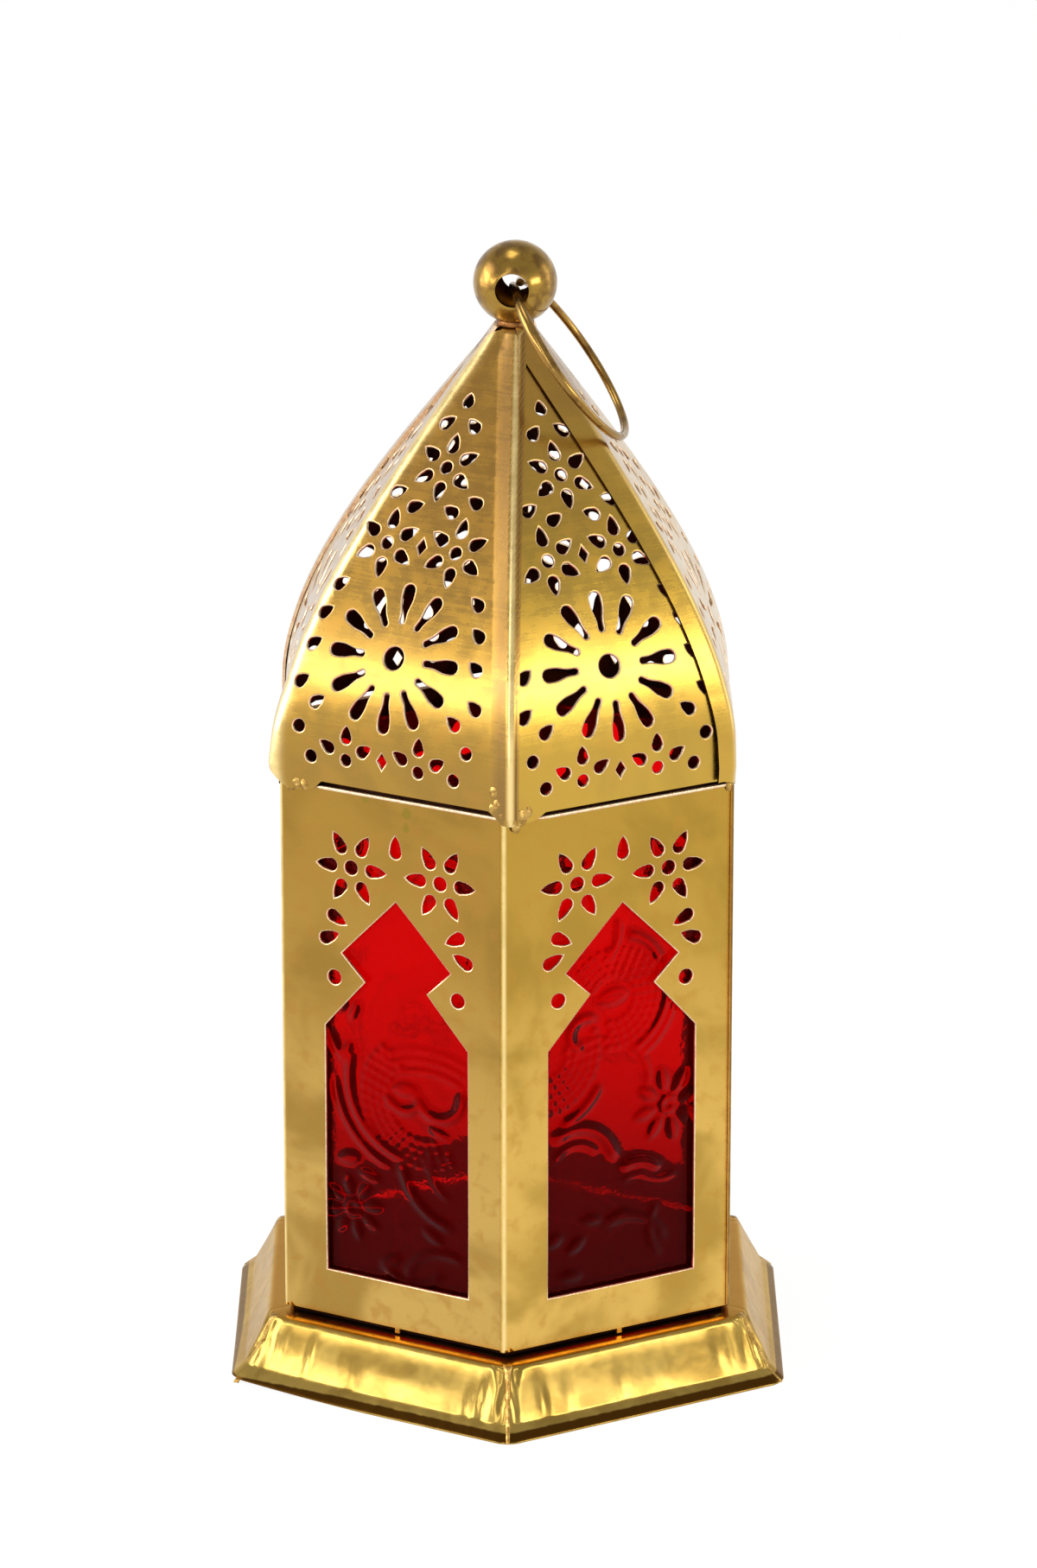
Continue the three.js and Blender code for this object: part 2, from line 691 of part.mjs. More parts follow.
// Assembly
const materials = {
  brass: new THREE.MeshStandardMaterial(BRASS),
  agedBrass: new THREE.MeshStandardMaterial(AGED_BRASS),
  glass: new THREE.MeshStandardMaterial(RED_GLASS),
};

const lantern = new THREE.Group();

function add(name, geometry, material, parent = lantern) {
  const mesh = new THREE.Mesh(geometry, material);
  mesh.name = name;
  parent.add(mesh);
  return mesh;
}

// A face looks towards -Y in its own frame. Turning it by this angle brings it to its side.
function sideGroup(position) {
  const group = new THREE.Group();
  group.rotation.z = HALF_STEP * (2 * position + 1);
  lantern.add(group);
  return group;
}

const SIDE_NAMES = ['front_right', 'right', 'rear_right', 'rear_left', 'left', 'front_left'];
const DOOR_SIDE = SIDE_NAMES.indexOf('rear_left');

add('base_moulding', baseMoulding(), materials.brass);
add('floor_plate', floorPlate(), materials.agedBrass);
add('tealight_cup', tealightCup(), materials.agedBrass);

SIDE_NAMES.forEach((name, position) => {
  const group = sideGroup(position);
  if (position === DOOR_SIDE) {
    add('door_panel', doorPanel(), materials.brass, group);
    add('door_glass', pane(), materials.glass, group);
    const pull = add('door_pull', doorPull(), materials.agedBrass, group);
    pull.rotation.x = Math.PI / 2;
    pull.position.set(bodyHalf - PULL.fromEdge, -(bodyFace + SEAT_GAP), bodyBottom + BODY.height / 2);
  } else {
    add(`panel_${name}`, fixedPanel(position === DOOR_SIDE + 1), materials.brass, group);
    add(`glass_${name}`, pane(), materials.glass, group);
  }
  const dome = leaned(petal(position % 2 === 1), group.rotation.z);
  add(`dome_petal_${name}`, dome, materials.brass, group);
});

const finial = new THREE.Group();
finial.position.set(APEX.lean, 0, ballZ);
finial.rotation.z = THREE.MathUtils.degToRad(-FINIAL.holeTurn);
lantern.add(finial);
add('finial_ball', finialBall(), materials.agedBrass, finial);
add('hanging_ring', hangingRing(), materials.agedBrass, finial);

// The hinge corner lies between the door and the side on its left, seen from outside
const hingeAngle = 2 * HALF_STEP * DOOR_SIDE - Math.PI / 2;
const hingeLevels = { lower: bodyBottom + HINGE.fromEnd, upper: bodyTop - HINGE.fromEnd - hingeHeight };
for (const [level, bottom] of Object.entries(hingeLevels)) {
  const corner = new THREE.Group();
  const x = pinRadiusFromAxis * Math.cos(hingeAngle);
  const y = pinRadiusFromAxis * Math.sin(hingeAngle);
  corner.position.set(x, y, bottom);
  corner.rotation.z = hingeAngle;
  lantern.add(corner);
  add(`hinge_leaf_${level}`, fixedLeaf(), materials.agedBrass, corner);
  add(`door_leaf_${level}`, doorLeaf(), materials.agedBrass, corner);
  add(`hinge_pin_${level}`, hingePin(), materials.agedBrass, corner);
}

export default lantern;
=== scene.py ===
"""Pierced brass tealight lantern with red pressed-glass panes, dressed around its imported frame.

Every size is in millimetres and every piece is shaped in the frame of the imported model, +Z up. A
side of the hexagon is shaped in its own face frame, where it looks towards -Y, and is then turned
to its place. Meshes and lamps are handed to Blender in metres.
"""

from __future__ import annotations

import logging
import math
from dataclasses import dataclass, field
from enum import Enum
from typing import Callable, Sequence

import bpy
import numpy as np
from mathutils import Matrix, Vector
from mathutils.geometry import delaunay_2d_cdt

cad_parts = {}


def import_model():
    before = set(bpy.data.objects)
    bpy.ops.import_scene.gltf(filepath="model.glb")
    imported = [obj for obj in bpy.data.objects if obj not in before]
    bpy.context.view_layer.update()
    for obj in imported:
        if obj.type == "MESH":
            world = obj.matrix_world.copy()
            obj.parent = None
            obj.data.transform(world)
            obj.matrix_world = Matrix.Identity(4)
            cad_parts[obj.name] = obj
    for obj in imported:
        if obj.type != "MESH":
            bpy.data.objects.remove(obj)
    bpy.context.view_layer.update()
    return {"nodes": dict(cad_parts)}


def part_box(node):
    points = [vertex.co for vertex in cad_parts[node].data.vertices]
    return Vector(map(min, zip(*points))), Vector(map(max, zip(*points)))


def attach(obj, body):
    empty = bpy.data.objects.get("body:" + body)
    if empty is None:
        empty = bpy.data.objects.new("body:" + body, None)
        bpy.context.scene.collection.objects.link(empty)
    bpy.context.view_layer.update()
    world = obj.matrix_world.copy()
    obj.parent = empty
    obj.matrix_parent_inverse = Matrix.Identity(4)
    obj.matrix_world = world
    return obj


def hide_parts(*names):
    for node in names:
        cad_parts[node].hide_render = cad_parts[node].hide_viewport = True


log = logging.getLogger("lantern")

Array = np.ndarray
Surface = Callable[[Array], Array]
Colour = tuple[float, float, float]
Materials = dict[str, bpy.types.Material]

METRE = 0.001
# Name of the point attribute that carries painted highlight and painted shade into the finishes.
PAINTED_LIGHT = "painted_light"
SIDES = 6
HALF_STEP = math.pi / SIDES
COS_HALF = math.cos(HALF_STEP)
TAN_HALF = math.tan(HALF_STEP)
COS_STEP = math.cos(2 * HALF_STEP)
SIN_STEP = math.sin(2 * HALF_STEP)


class Side(Enum):
    """Places of the six sides, counted to the right from the front, seen from outside."""

    FRONT_RIGHT = 0
    RIGHT = 1
    REAR_RIGHT = 2
    REAR_LEFT = 3
    LEFT = 4
    FRONT_LEFT = 5

    @property
    def label(self) -> str:
        """The side's name as the nodes spell it."""
        return self.name.lower()

    @property
    def turn(self) -> float:
        """Radians from the face frame to the side's place."""
        return HALF_STEP * (2 * self.value + 1)

    @property
    def is_lit_side(self) -> bool:
        """Whether the side is one of the three on the right, which take the lit copy of the sheet's finish;
        the other three take a darker copy painted as shade.
        """
        return self.value <= Side.REAR_RIGHT.value

    @property
    def is_door(self) -> bool:
        """Whether the door hangs on this side."""
        return self is Side.REAR_LEFT


class Fold(Enum):
    """What a sheet's side edge does at the hexagon's corner."""

    PLAIN = "stops short of the corner, under the neighbour's fold"
    OVER = "folds round the corner onto the neighbour's outside"
    BEHIND = "folds round the corner behind the neighbour"


# Points, outlines and surfaces


def unit(vectors: Array) -> Array:
    """Gives each row its own direction with length one."""
    length = np.linalg.norm(vectors, axis=-1, keepdims=True)
    return vectors / np.maximum(length, 1e-12)


def turned(points: Array, radians: float) -> Array:
    """Turns points about the vertical axis.

    Args:
        points: rows of x, y and z.
        radians: the turn, anticlockwise from above.

    Returns:
        The turned rows.
    """
    cos, sin = math.cos(radians), math.sin(radians)
    spin = np.array([[cos, -sin, 0], [sin, cos, 0], [0, 0, 1]])
    return points @ spin.T


def anticlockwise(outline: Array) -> Array:
    """Orders a closed outline anticlockwise.

    Args:
        outline: rows of two coordinates.

    Returns:
        The same points, reversed if they ran clockwise.
    """
    x, y = outline.T
    area = np.sum(x * np.roll(y, -1) - np.roll(x, -1) * y)
    return outline if area > 0 else outline[::-1]


def outward(outline: Array) -> Array:
    """Finds the direction that points out of an outline at each of its points.

    Args:
        outline: anticlockwise rows of two coordinates.

    Returns:
        Rows whose length is the mitre that keeps an offset edge parallel.
    """
    before = unit(outline - np.roll(outline, 1, axis=0))
    after = unit(np.roll(outline, -1, axis=0) - outline)
    normal_before = np.stack([before[:, 1], -before[:, 0]], axis=1)
    normal_after = np.stack([after[:, 1], -after[:, 0]], axis=1)
    middle = unit(normal_before + normal_after)
    mitre = np.clip(np.sum(middle * normal_before, axis=1, keepdims=True), 0.5, 1)
    return middle / mitre


def placed(outline: Array, x: float, y: float, degrees: float = 0.0) -> Array:
    """Turns and moves a flat outline.

    Args:
        outline: rows of two coordinates about the outline's own centre.
        x: where the centre goes, across.
        y: where the centre goes, up.
        degrees: the turn, anticlockwise.

    Returns:
        The moved outline, anticlockwise.
    """
    angle = math.radians(degrees)
    spin = np.array([[math.cos(angle), -math.sin(angle)], [math.sin(angle), math.cos(angle)]])
    return anticlockwise(outline @ spin.T + np.array([x, y]))


def divided(corners: Array, step: float) -> Array:
    """Adds points along the straight edges of a closed outline.

    Args:
        corners: rows of two coordinates.
        step: the longest edge that stays undivided.

    Returns:
        The outline with its corners kept.
    """
    pieces = []
    for start, end in zip(corners, np.roll(corners, -1, axis=0)):
        count = max(1, math.ceil(np.linalg.norm(end - start) / step))
        shares = np.arange(count)[:, None] / count
        pieces.append(start + (end - start) * shares)
    return np.concatenate(pieces)


def inside(points: Array, outline: Array) -> Array:
    """Tests which points lie inside a closed outline.

    Args:
        points: rows of two coordinates.
        outline: rows of two coordinates.

    Returns:
        One truth value for each point.
    """
    found = np.zeros(len(points), bool)
    x, y = points.T
    for (x0, y0), (x1, y1) in zip(outline, np.roll(outline, -1, axis=0)):
        crosses = (y0 > y) != (y1 > y)
        if crosses.any():
            at = x0 + (x1 - x0) * (y - y0) / (y1 - y0 if y1 != y0 else 1e-12)
            found ^= crosses & (x < at)
    return found


def nearest(points: Array, others: Array) -> Array:
    """Measures how near each point is to a set of others.

    Args:
        points: rows of two coordinates.
        others: rows of two coordinates.

    Returns:
        The least distance for each point.
    """
    least = np.full(len(points), np.inf)
    for start in range(0, len(others), 400):
        gap = points[:, None] - others[None, start : start + 400]
        least = np.minimum(least, np.sqrt((gap**2).sum(-1)).min(1))
    return least


@dataclass(frozen=True)
class Waviness:
    """The slight unevenness of a thin sheet, as a sum of long waves.

    Attributes:
        seed: picks the waves.
        height: how far the sheet strays, about.
        length: the middle wave length.
        waves: how many waves are added.
    """

    seed: int
    height: float = 0.07
    length: float = 26.0
    waves: int = 7

    def __call__(self, uv: Array) -> Array:
        """Gives the sheet's stray from its true surface.

        Args:
            uv: rows of sheet coordinates.

        Returns:
            One height for each row.
        """
        draw = np.random.default_rng(self.seed)
        stray = np.zeros(len(uv))
        for _ in range(self.waves):
            angle = draw.uniform(0, 2 * math.pi)
            length = self.length * draw.uniform(0.6, 1.7)
            phase = draw.uniform(0, 2 * math.pi)
            across = uv @ np.array([math.cos(angle), math.sin(angle)])
            stray += np.sin(2 * math.pi * across / length + phase)
        return stray * self.height / math.sqrt(self.waves)


class Punch:
    """Shapes of the punched holes, each about its own centre and pointing along +X."""

    @staticmethod
    def dot(radius: float, count: int = 18) -> Array:
        """Outlines a round hole with a number of points."""
        angle = 2 * math.pi * np.arange(count) / count
        return radius * np.stack([np.cos(angle), np.sin(angle)], axis=1)

    @staticmethod
    def drop(radius: float, point: float, belly: float = 0.09) -> Array:
        """Makes a drop with a round end and one sharp point.

        Args:
            radius: radius of the round end.
            point: distance of the sharp point from the round end's centre.
            belly: how full its sides are, as a share of their length.

        Returns:
            The outline.
        """
        touch = math.acos(radius / point)
        angle = np.linspace(touch, 2 * math.pi - touch, 13)
        arc = radius * np.stack([np.cos(angle), np.sin(angle)], axis=1)
        tip = np.array([point, 0.0])
        shares = np.array([0.25, 0.5, 0.75])[:, None]
        full = belly * math.sqrt(point**2 - radius**2) * 4 * shares * (1 - shares)
        upper_start = arc[0]
        side = tip + (upper_start - tip) * shares
        normal = np.array([math.cos(touch), math.sin(touch)])
        upper = side + normal * full
        lower = (upper * np.array([1, -1]))[::-1]
        return np.concatenate([[tip], upper, arc, lower])

    @staticmethod
    def slot(inner: float, inner_radius: float, outer: float, outer_radius: float) -> Array:
        """Makes a ray of the sunburst: slim near the centre, swelling to a round outer end.

        Args:
            inner: distance of the inner end's centre from the sunburst's centre.
            inner_radius: radius of the inner end.
            outer: distance of the outer end's centre.
            outer_radius: radius of the outer end.

        Returns:
            The outline.
        """
        ends = np.linspace(math.pi / 2, 3 * math.pi / 2, 7)
        near = np.array([inner, 0]) + inner_radius * np.stack([np.cos(ends), np.sin(ends)], axis=1)
        far = np.array([outer, 0]) - outer_radius * np.stack([np.cos(ends), np.sin(ends)], axis=1)
        share = np.linspace(0, 1, 9)[1:-1]
        swell = np.clip((share - 0.2) / 0.6, 0, 1)
        swell = swell * swell * (3 - 2 * swell)
        half = inner_radius + (outer_radius - inner_radius) * swell
        lower = np.stack([inner + (outer - inner) * share, -half], axis=1)
        upper = (lower * np.array([1, -1]))[::-1]
        return np.concatenate([near, lower, far, upper])

    @staticmethod
    def diamond(half_width: float, half_height: float) -> Array:
        """Outlines a pointed hole with four sides."""
        corners = [[half_width, 0], [0, half_height], [-half_width, 0], [0, -half_height]]
        return divided(np.array(corners, float), 0.7)


@dataclass(frozen=True)
class Blossom:
    """Six drops round a dot.

    Attributes:
        reach: from the dot's centre to the centres of the drops' round ends.
        radius: of the round ends.
        point: from a round end's centre to its sharp point.
        dot: radius of the dot.
        first: degrees of the first drop.
    """

    reach: float
    radius: float
    point: float
    dot: float
    first: float

    def holes(self, x: float, y: float) -> list[Array]:
        """Places the blossom.

        Args:
            x: its centre, across.
            y: its centre, up.

        Returns:
            Seven outlines.
        """
        made = [placed(Punch.dot(self.dot), x, y)]
        for i in range(6):
            degrees = self.first + 60 * i
            angle = math.radians(degrees)
            drop = Punch.drop(self.radius, self.point)
            at = (x + self.reach * math.cos(angle), y + self.reach * math.sin(angle))
            made.append(placed(drop, *at, degrees))
        return made


def mirrored(shape: Array, x: float, y: float, degrees: float = 0.0) -> list[Array]:
    """Places a shape on the middle line, or left of it with its mirror image on the right."""
    left = placed(shape, -x, y, degrees)
    return [left, anticlockwise(left * np.array([-1, 1]))] if x else [left]


# Meshes


@dataclass
class MeshBuilder:
    """Gathers the points and faces of one piece, in millimetres."""

    points: list[Array] = field(default_factory=list)
    faces: list[list[int]] = field(default_factory=list)
    finishes: list[int] = field(default_factory=list)
    normals: list[Array] = field(default_factory=list)
    painted_lights: list[Array] = field(default_factory=list)
    count: int = 0

    def add_points(self, points: Array, painted_light: Array | None = None) -> Array:
        """Adds points.

        Args:
            points: rows of x, y and z.
            painted_light: from 1 for a painted highlight to -1 for painted shade, or none.

        Returns:
            Their numbers.
        """
        self.points.append(np.asarray(points, float))
        self.painted_lights.append(np.zeros(len(points)) if painted_light is None else painted_light)
        numbers = np.arange(self.count, self.count + len(points))
        self.count += len(points)
        return numbers

    def add_faces(self, corners: Array, finish: int = 0, normals: Array | None = None) -> None:
        """Adds faces of one corner count.

        Args:
            corners: a row of point numbers for each face.
            finish: number of the finish in the piece's list.
            normals: a normal for each corner of each face, or none to let Blender find them.
        """
        corners = np.asarray(corners)
        if normals is None:
            normals = np.zeros(corners.shape + (3,))
        self.faces.extend(corners.tolist())
        self.finishes.extend([finish] * len(corners))
        self.normals.append(normals.reshape(-1, 3))

    def add_grid(
        self,
        grid: Array,
        finish: int = 0,
        wraps: tuple[bool, bool] = (False, False),
        painted_light: Array | None = None,
    ) -> Array:
        """painted_light: painted highlight, above nought, and painted shade, below it, at each point in the
        grid's rows and columns, or none.

        Returns:
            The points' numbers in rows and columns.
        """
        rows, columns = grid.shape[:2]
        painted_lights = None if painted_light is None else painted_light.ravel()
        numbers = self.add_points(grid.reshape(-1, 3), painted_lights).reshape(rows, columns)
        row = np.arange(rows if wraps[0] else rows - 1)
        column = np.arange(columns if wraps[1] else columns - 1)
        r, c = np.meshgrid(row, column, indexing="ij")
        r1, c1 = (r + 1) % rows, (c + 1) % columns
        corners = [numbers[r, c], numbers[r1, c], numbers[r1, c1], numbers[r, c1]]
        self.add_faces(np.stack(corners, axis=-1).reshape(-1, 4), finish)
        return numbers

    def add_tube(self, rings: Array, finish: int = 0) -> None:
        """Adds closed rings of points, joined into a tube whose ends are shut.

        Args:
            rings: the points, one ring in each row.
            finish: number of the finish.
        """
        numbers = self.add_grid(rings, finish, (False, True))
        self.add_fan(numbers[0][::-1], rings[0].mean(0), finish)
        self.add_fan(numbers[-1], rings[-1].mean(0), finish)

    def add_wall(self, near: Array, far: Array, finish: int = 0) -> None:
        """Joins two rings that have one count of points by a wall of four-sided faces."""
        near_ahead, far_ahead = np.roll(near, -1), np.roll(far, -1)
        self.add_faces(np.stack([near, far, far_ahead, near_ahead], axis=1), finish)

    def add_fan(self, ring: Array, centre: Array, finish: int = 0) -> None:
        """Closes a ring of points with a fan.

        Args:
            ring: the ring's point numbers, anticlockwise as seen from outside.
            centre: the fan's middle point.
            finish: number of the finish.
        """
        middle = self.add_points(np.asarray(centre, float)[None])[0]
        corners = [[a, b, middle] for a, b in zip(ring, np.roll(ring, -1))]
        self.add_faces(np.array(corners), finish)

    def build(
        self, name: str, materials: Sequence[bpy.types.Material], turn: float = 0.0, sharp: float = 35.0
    ) -> bpy.types.Object:
        """Makes the Blender object.

        Args:
            name: the piece's name.
            materials: its finishes, in the order of their numbers.
            turn: radians about the vertical axis to the piece's place.
            sharp: degrees past which an edge is left sharp.

        Returns:
            The object, linked to the scene.
        """
        points = turned(np.concatenate(self.points), turn) * METRE
        mesh = bpy.data.meshes.new(name)
        mesh.from_pydata(points.tolist(), [], self.faces)
        for material in materials:
            mesh.materials.append(material)
        mesh.polygons.foreach_set("material_index", self.finishes)
        mesh.polygons.foreach_set("use_smooth", [True] * len(self.faces))
        mesh.set_sharp_from_angle(angle=math.radians(sharp))
        normals = turned(np.concatenate(self.normals), turn)
        if np.abs(normals).max() > 0:
            mesh.normals_split_custom_set(normals.tolist())
        # Stores the painted highlight and painted shade of each point for the finishes.
        painted_light = mesh.attributes.new(PAINTED_LIGHT, "FLOAT", "POINT")
        painted_light.data.foreach_set("value", np.concatenate(self.painted_lights))
        mesh.update()
        piece = bpy.data.objects.new(name, mesh)
        bpy.context.scene.collection.objects.link(piece)
        return piece


class SheetPart(Enum):
    """Numbers of a sheet's finishes in its piece's list."""

    OUTSIDE = 0
    INSIDE = 1
    CUT = 2


@dataclass
class Sheet:
    """A pierced metal sheet laid on a curved surface.

    Attributes:
        surface: gives the outside of the sheet from its flat coordinates, in the face frame.
        painted_light: gives the painted highlight, above nought, and painted shade, below it, at the sheet's
            flat coordinates.
        thickness: of the metal.
        rim: width of the edge that the punch rolled over, round each hole.
        lip: share of that width, from the hole, where the edge starts to dip.
        sink: how far that edge goes in at the hole.
        tilts: how far the edge has turned inwards at the dip and at the hole, in radians.
        edge: finish of the sheet's outer edges.
    """

    surface: Surface
    painted_light: Callable[[Array], Array]
    thickness: float = 0.5
    rim: float = 0.3
    lip: float = 0.62
    sink: float = 0.13
    tilts: tuple[float, float] = (math.radians(22), math.radians(62))
    edge: SheetPart = SheetPart.CUT

    def frames(self, uv: Array) -> tuple[Array, Array, Array, Array]:
        """Measures the surface at flat coordinates.

        Args:
            uv: rows of flat coordinates.

        Returns:
            Points, outward normals and the directions of the two coordinates.
        """
        step = 0.03
        across = (self.surface(uv + [step, 0]) - self.surface(uv - [step, 0])) / (2 * step)
        up = (self.surface(uv + [0, step]) - self.surface(uv - [0, step])) / (2 * step)
        return self.surface(uv), unit(np.cross(across, up)), across, up

    def add(self, builder: MeshBuilder, outline: Array, holes: list[Array], lattice: Array) -> None:
        """Meshes the sheet with its holes.

        Args:
            builder: takes the mesh.
            outline: the sheet's flat outline, anticlockwise.
            holes: outlines of the holes, anticlockwise.
            lattice: flat points that carry the surface's curve between the edges.
        """
        rims = [hole + outward(hole) * self.rim for hole in holes]
        flat = np.concatenate([outline, *rims, self._clear_points(lattice, outline, rims)])
        corners = self._triangles(flat, [outline, *rims])
        points, normals, _, _ = self.frames(flat)
        outer = builder.add_points(points, self.painted_light(flat))
        inner = builder.add_points(points - normals * self.thickness)
        builder.add_faces(outer[corners], SheetPart.OUTSIDE.value, normals[corners])
        back = corners[:, ::-1]
        builder.add_faces(inner[back], SheetPart.INSIDE.value, -normals[back])
        start = len(outline)
        builder.add_wall(outer[:start], inner[:start], self.edge.value)
        for hole in holes:
            ring = np.arange(start, start + len(hole))
            self._add_edge(builder, hole, outer[ring], inner[ring])
            start += len(hole)

    @staticmethod
    def _clear_points(lattice: Array, outline: Array, rims: list[Array], gap: float = 0.3) -> Array:
        """Keeps the lattice points that lie on metal, clear of its edges.

        Args:
            lattice: flat points.
            outline: the sheet's outline.
            rims: outlines of the holes with their rolled edges.
            gap: least distance from an edge.

        Returns:
            The points kept.
        """
        lattice = lattice[inside(lattice, outline) & (nearest(lattice, outline) > gap)]
        for rim in rims:
            close = np.all((lattice > rim.min(0) - 1) & (lattice < rim.max(0) + 1), axis=1)
            shut = np.zeros(len(lattice), bool)
            shut[close] = inside(lattice[close], rim) | (nearest(lattice[close], rim) < gap)
            lattice = lattice[~shut]
        return lattice

    @staticmethod
    def _triangles(flat: Array, loops: list[Array]) -> Array:
        """Divides the metal between an outline and its holes into triangles.

        Args:
            flat: the loops' points, one loop after the other, and then the lattice.
            loops: the outline and the holes.

        Returns:
            Three point numbers for each triangle.
        """
        edges, start = [], 0
        for loop in loops:
            ring = np.arange(start, start + len(loop))
            edges.extend(np.stack([ring, np.roll(ring, -1)], axis=1).tolist())
            start += len(loop)
        made = delaunay_2d_cdt([Vector(p) for p in flat], edges, [], 1, 1e-6)
        number = np.array([sources[0] for sources in made[3]])
        corners = number[np.array(made[2])]
        middles = flat[corners].mean(axis=1)
        solid = np.ones(len(corners), bool)
        for hole in loops[1:]:
            close = np.all((middles > hole.min(0)) & (middles < hole.max(0)), axis=1)
            solid[close] &= ~inside(middles[close], hole)
        return corners[solid]

    def _add_edge(self, builder: MeshBuilder, hole: Array, outer: Array, inner: Array) -> None:
        """Joins the outside to the inside round one hole, with a rolled edge and a cut wall.

        Args:
            builder: takes the mesh.
            hole: the hole's outline.
            outer: numbers of the points round it on the outside.
            inner: numbers of the points round it on the inside.
        """
        away = outward(hole)
        lip_flat = hole + away * self.rim * self.lip
        n0 = self.frames(hole + away * self.rim)[1]
        lip, n1, a1, u1 = self.frames(lip_flat)
        mouth, n2, a2, u2 = self.frames(hole)
        into = -unit(away)
        m1 = unit(a1 * into[:, :1] + u1 * into[:, 1:])
        m2 = unit(a2 * into[:, :1] + u2 * into[:, 1:])
        lip_tilt, mouth_tilt = self.tilts
        lip_normal = n1 * math.cos(lip_tilt) + m1 * math.sin(lip_tilt)
        mouth_normal = n2 * math.cos(mouth_tilt) + m2 * math.sin(mouth_tilt)
        lip_ring = builder.add_points(lip - n1 * self.sink * 0.2, self.painted_light(lip_flat))
        mouth_ring = builder.add_points(mouth - n2 * self.sink)
        back_ring = builder.add_points(mouth - n2 * self.thickness)
        steps = [
            (outer, lip_ring, n0, lip_normal, SheetPart.OUTSIDE),
            (lip_ring, mouth_ring, lip_normal, mouth_normal, SheetPart.CUT),
            (mouth_ring, back_ring, m2, m2, SheetPart.CUT),
            (back_ring, inner, -n2, -n0, SheetPart.INSIDE),
        ]
        here = np.arange(len(hole))
        ahead = np.roll(here, -1)
        for first, second, first_normal, second_normal, part in steps:
            corners = np.stack([first[here], first[ahead], second[ahead], second[here]], axis=1)
            normals = [first_normal[here], first_normal[ahead], second_normal[ahead], second_normal[here]]
            builder.add_faces(corners, part.value, np.stack(normals, axis=1))


def folded_section(u: Array, face: Array, lap_face: tuple[Array, Array], bend: tuple[Array, Array]) -> Array:
    """Plan of a sheet whose side edges bend round the hexagon's corners.

    Args:
        u: distance across the sheet from the face's middle, along its outside.
        face: distance of the face from the axis.
        lap_face: distance from the axis of the left and the right flange.
        bend: outer radius of the left and the right bend.

    Returns:
        Rows of x and y in the face frame.
    """
    x, y = np.array(u, float), -np.broadcast_to(face, np.shape(u)).astype(float)
    for side, flange, radius in ((-1, lap_face[0], bend[0]), (1, lap_face[1], bend[1])):
        corner = (flange - face * COS_STEP) / SIN_STEP
        start = corner - radius * TAN_HALF
        past = side * u - start
        angle = np.clip(past / radius, 0, 2 * HALF_STEP)
        straight = np.maximum(past - 2 * HALF_STEP * radius, 0)
        bent_x = start + radius * np.sin(angle) + straight * COS_STEP
        bent_y = radius * (1 - np.cos(angle)) + straight * SIN_STEP
        x = np.where(past > 0, side * bent_x, x)
        y = np.where(past > 0, y + bent_y, y)
    return np.stack([x, y], axis=1)


def lathe(builder: MeshBuilder, profile: Array, place: Matrix, count: int, closed: bool = False) -> None:
    """Turns a profile about its own Z axis.

    Args:
        builder: takes the mesh.
        profile: rows of radius and height, rising on the outside.
        place: carries the turned shape to its place, in millimetres.
        count: facets round.
        closed: whether the profile's last point joins its first.
    """
    angle = 2 * math.pi * np.arange(count) / count
    profile = np.asarray(profile, float)
    x = np.cos(angle)[:, None] * profile[None, :, 0]
    y = np.sin(angle)[:, None] * profile[None, :, 0]
    z = np.broadcast_to(profile[None, :, 1], x.shape)
    grid = moved_by(place, np.stack([x, y, z], axis=-1))
    body = grid
    ends = []
    if not closed:
        if profile[0, 0] < 1e-6:
            ends.append((0, grid[0, 0]))
            body = body[:, 1:]
        if profile[-1, 0] < 1e-6:
            ends.append((-1, grid[0, -1]))
            body = body[:, :-1]
    numbers = builder.add_grid(body, 0, (True, closed))
    for column, centre in ends:
        ring = numbers[:, column]
        builder.add_fan(ring[::-1] if column == 0 else ring, centre)


def moved_by(place: Matrix, points: Array) -> Array:
    """Carries points, whose last axis holds x, y and z, by a 4x4 matrix in millimetres."""
    matrix = np.array(place)
    return points @ matrix[:3, :3].T + matrix[:3, 3]


def rounded_profile(corners: Sequence[tuple[float, float, float]], steps: int = 5) -> Array:
    """Rounds the corners of an open profile.

    Args:
        corners: radius, height and corner rounding of each point.
        steps: points in each rounding.

    Returns:
        Rows of radius and height.
    """
    points = np.array(corners, float)
    made = [points[0, :2]]
    for before, here, after in zip(points, points[1:], points[2:]):
        if here[2] <= 0:
            made.append(here[:2])
            continue
        back, ahead = before[:2] - here[:2], after[:2] - here[:2]
        reach = min(here[2], 0.48 * np.linalg.norm(back), 0.48 * np.linalg.norm(ahead))
        start = here[:2] + unit(back) * reach
        end = here[:2] + unit(ahead) * reach
        for share in np.linspace(0, 1, steps):
            a = start + (here[:2] - start) * share
            b = here[:2] + (end - here[:2]) * share
            made.append(a + (b - a) * share)
    made.append(points[-1, :2])
    return np.array(made)


# Finishes


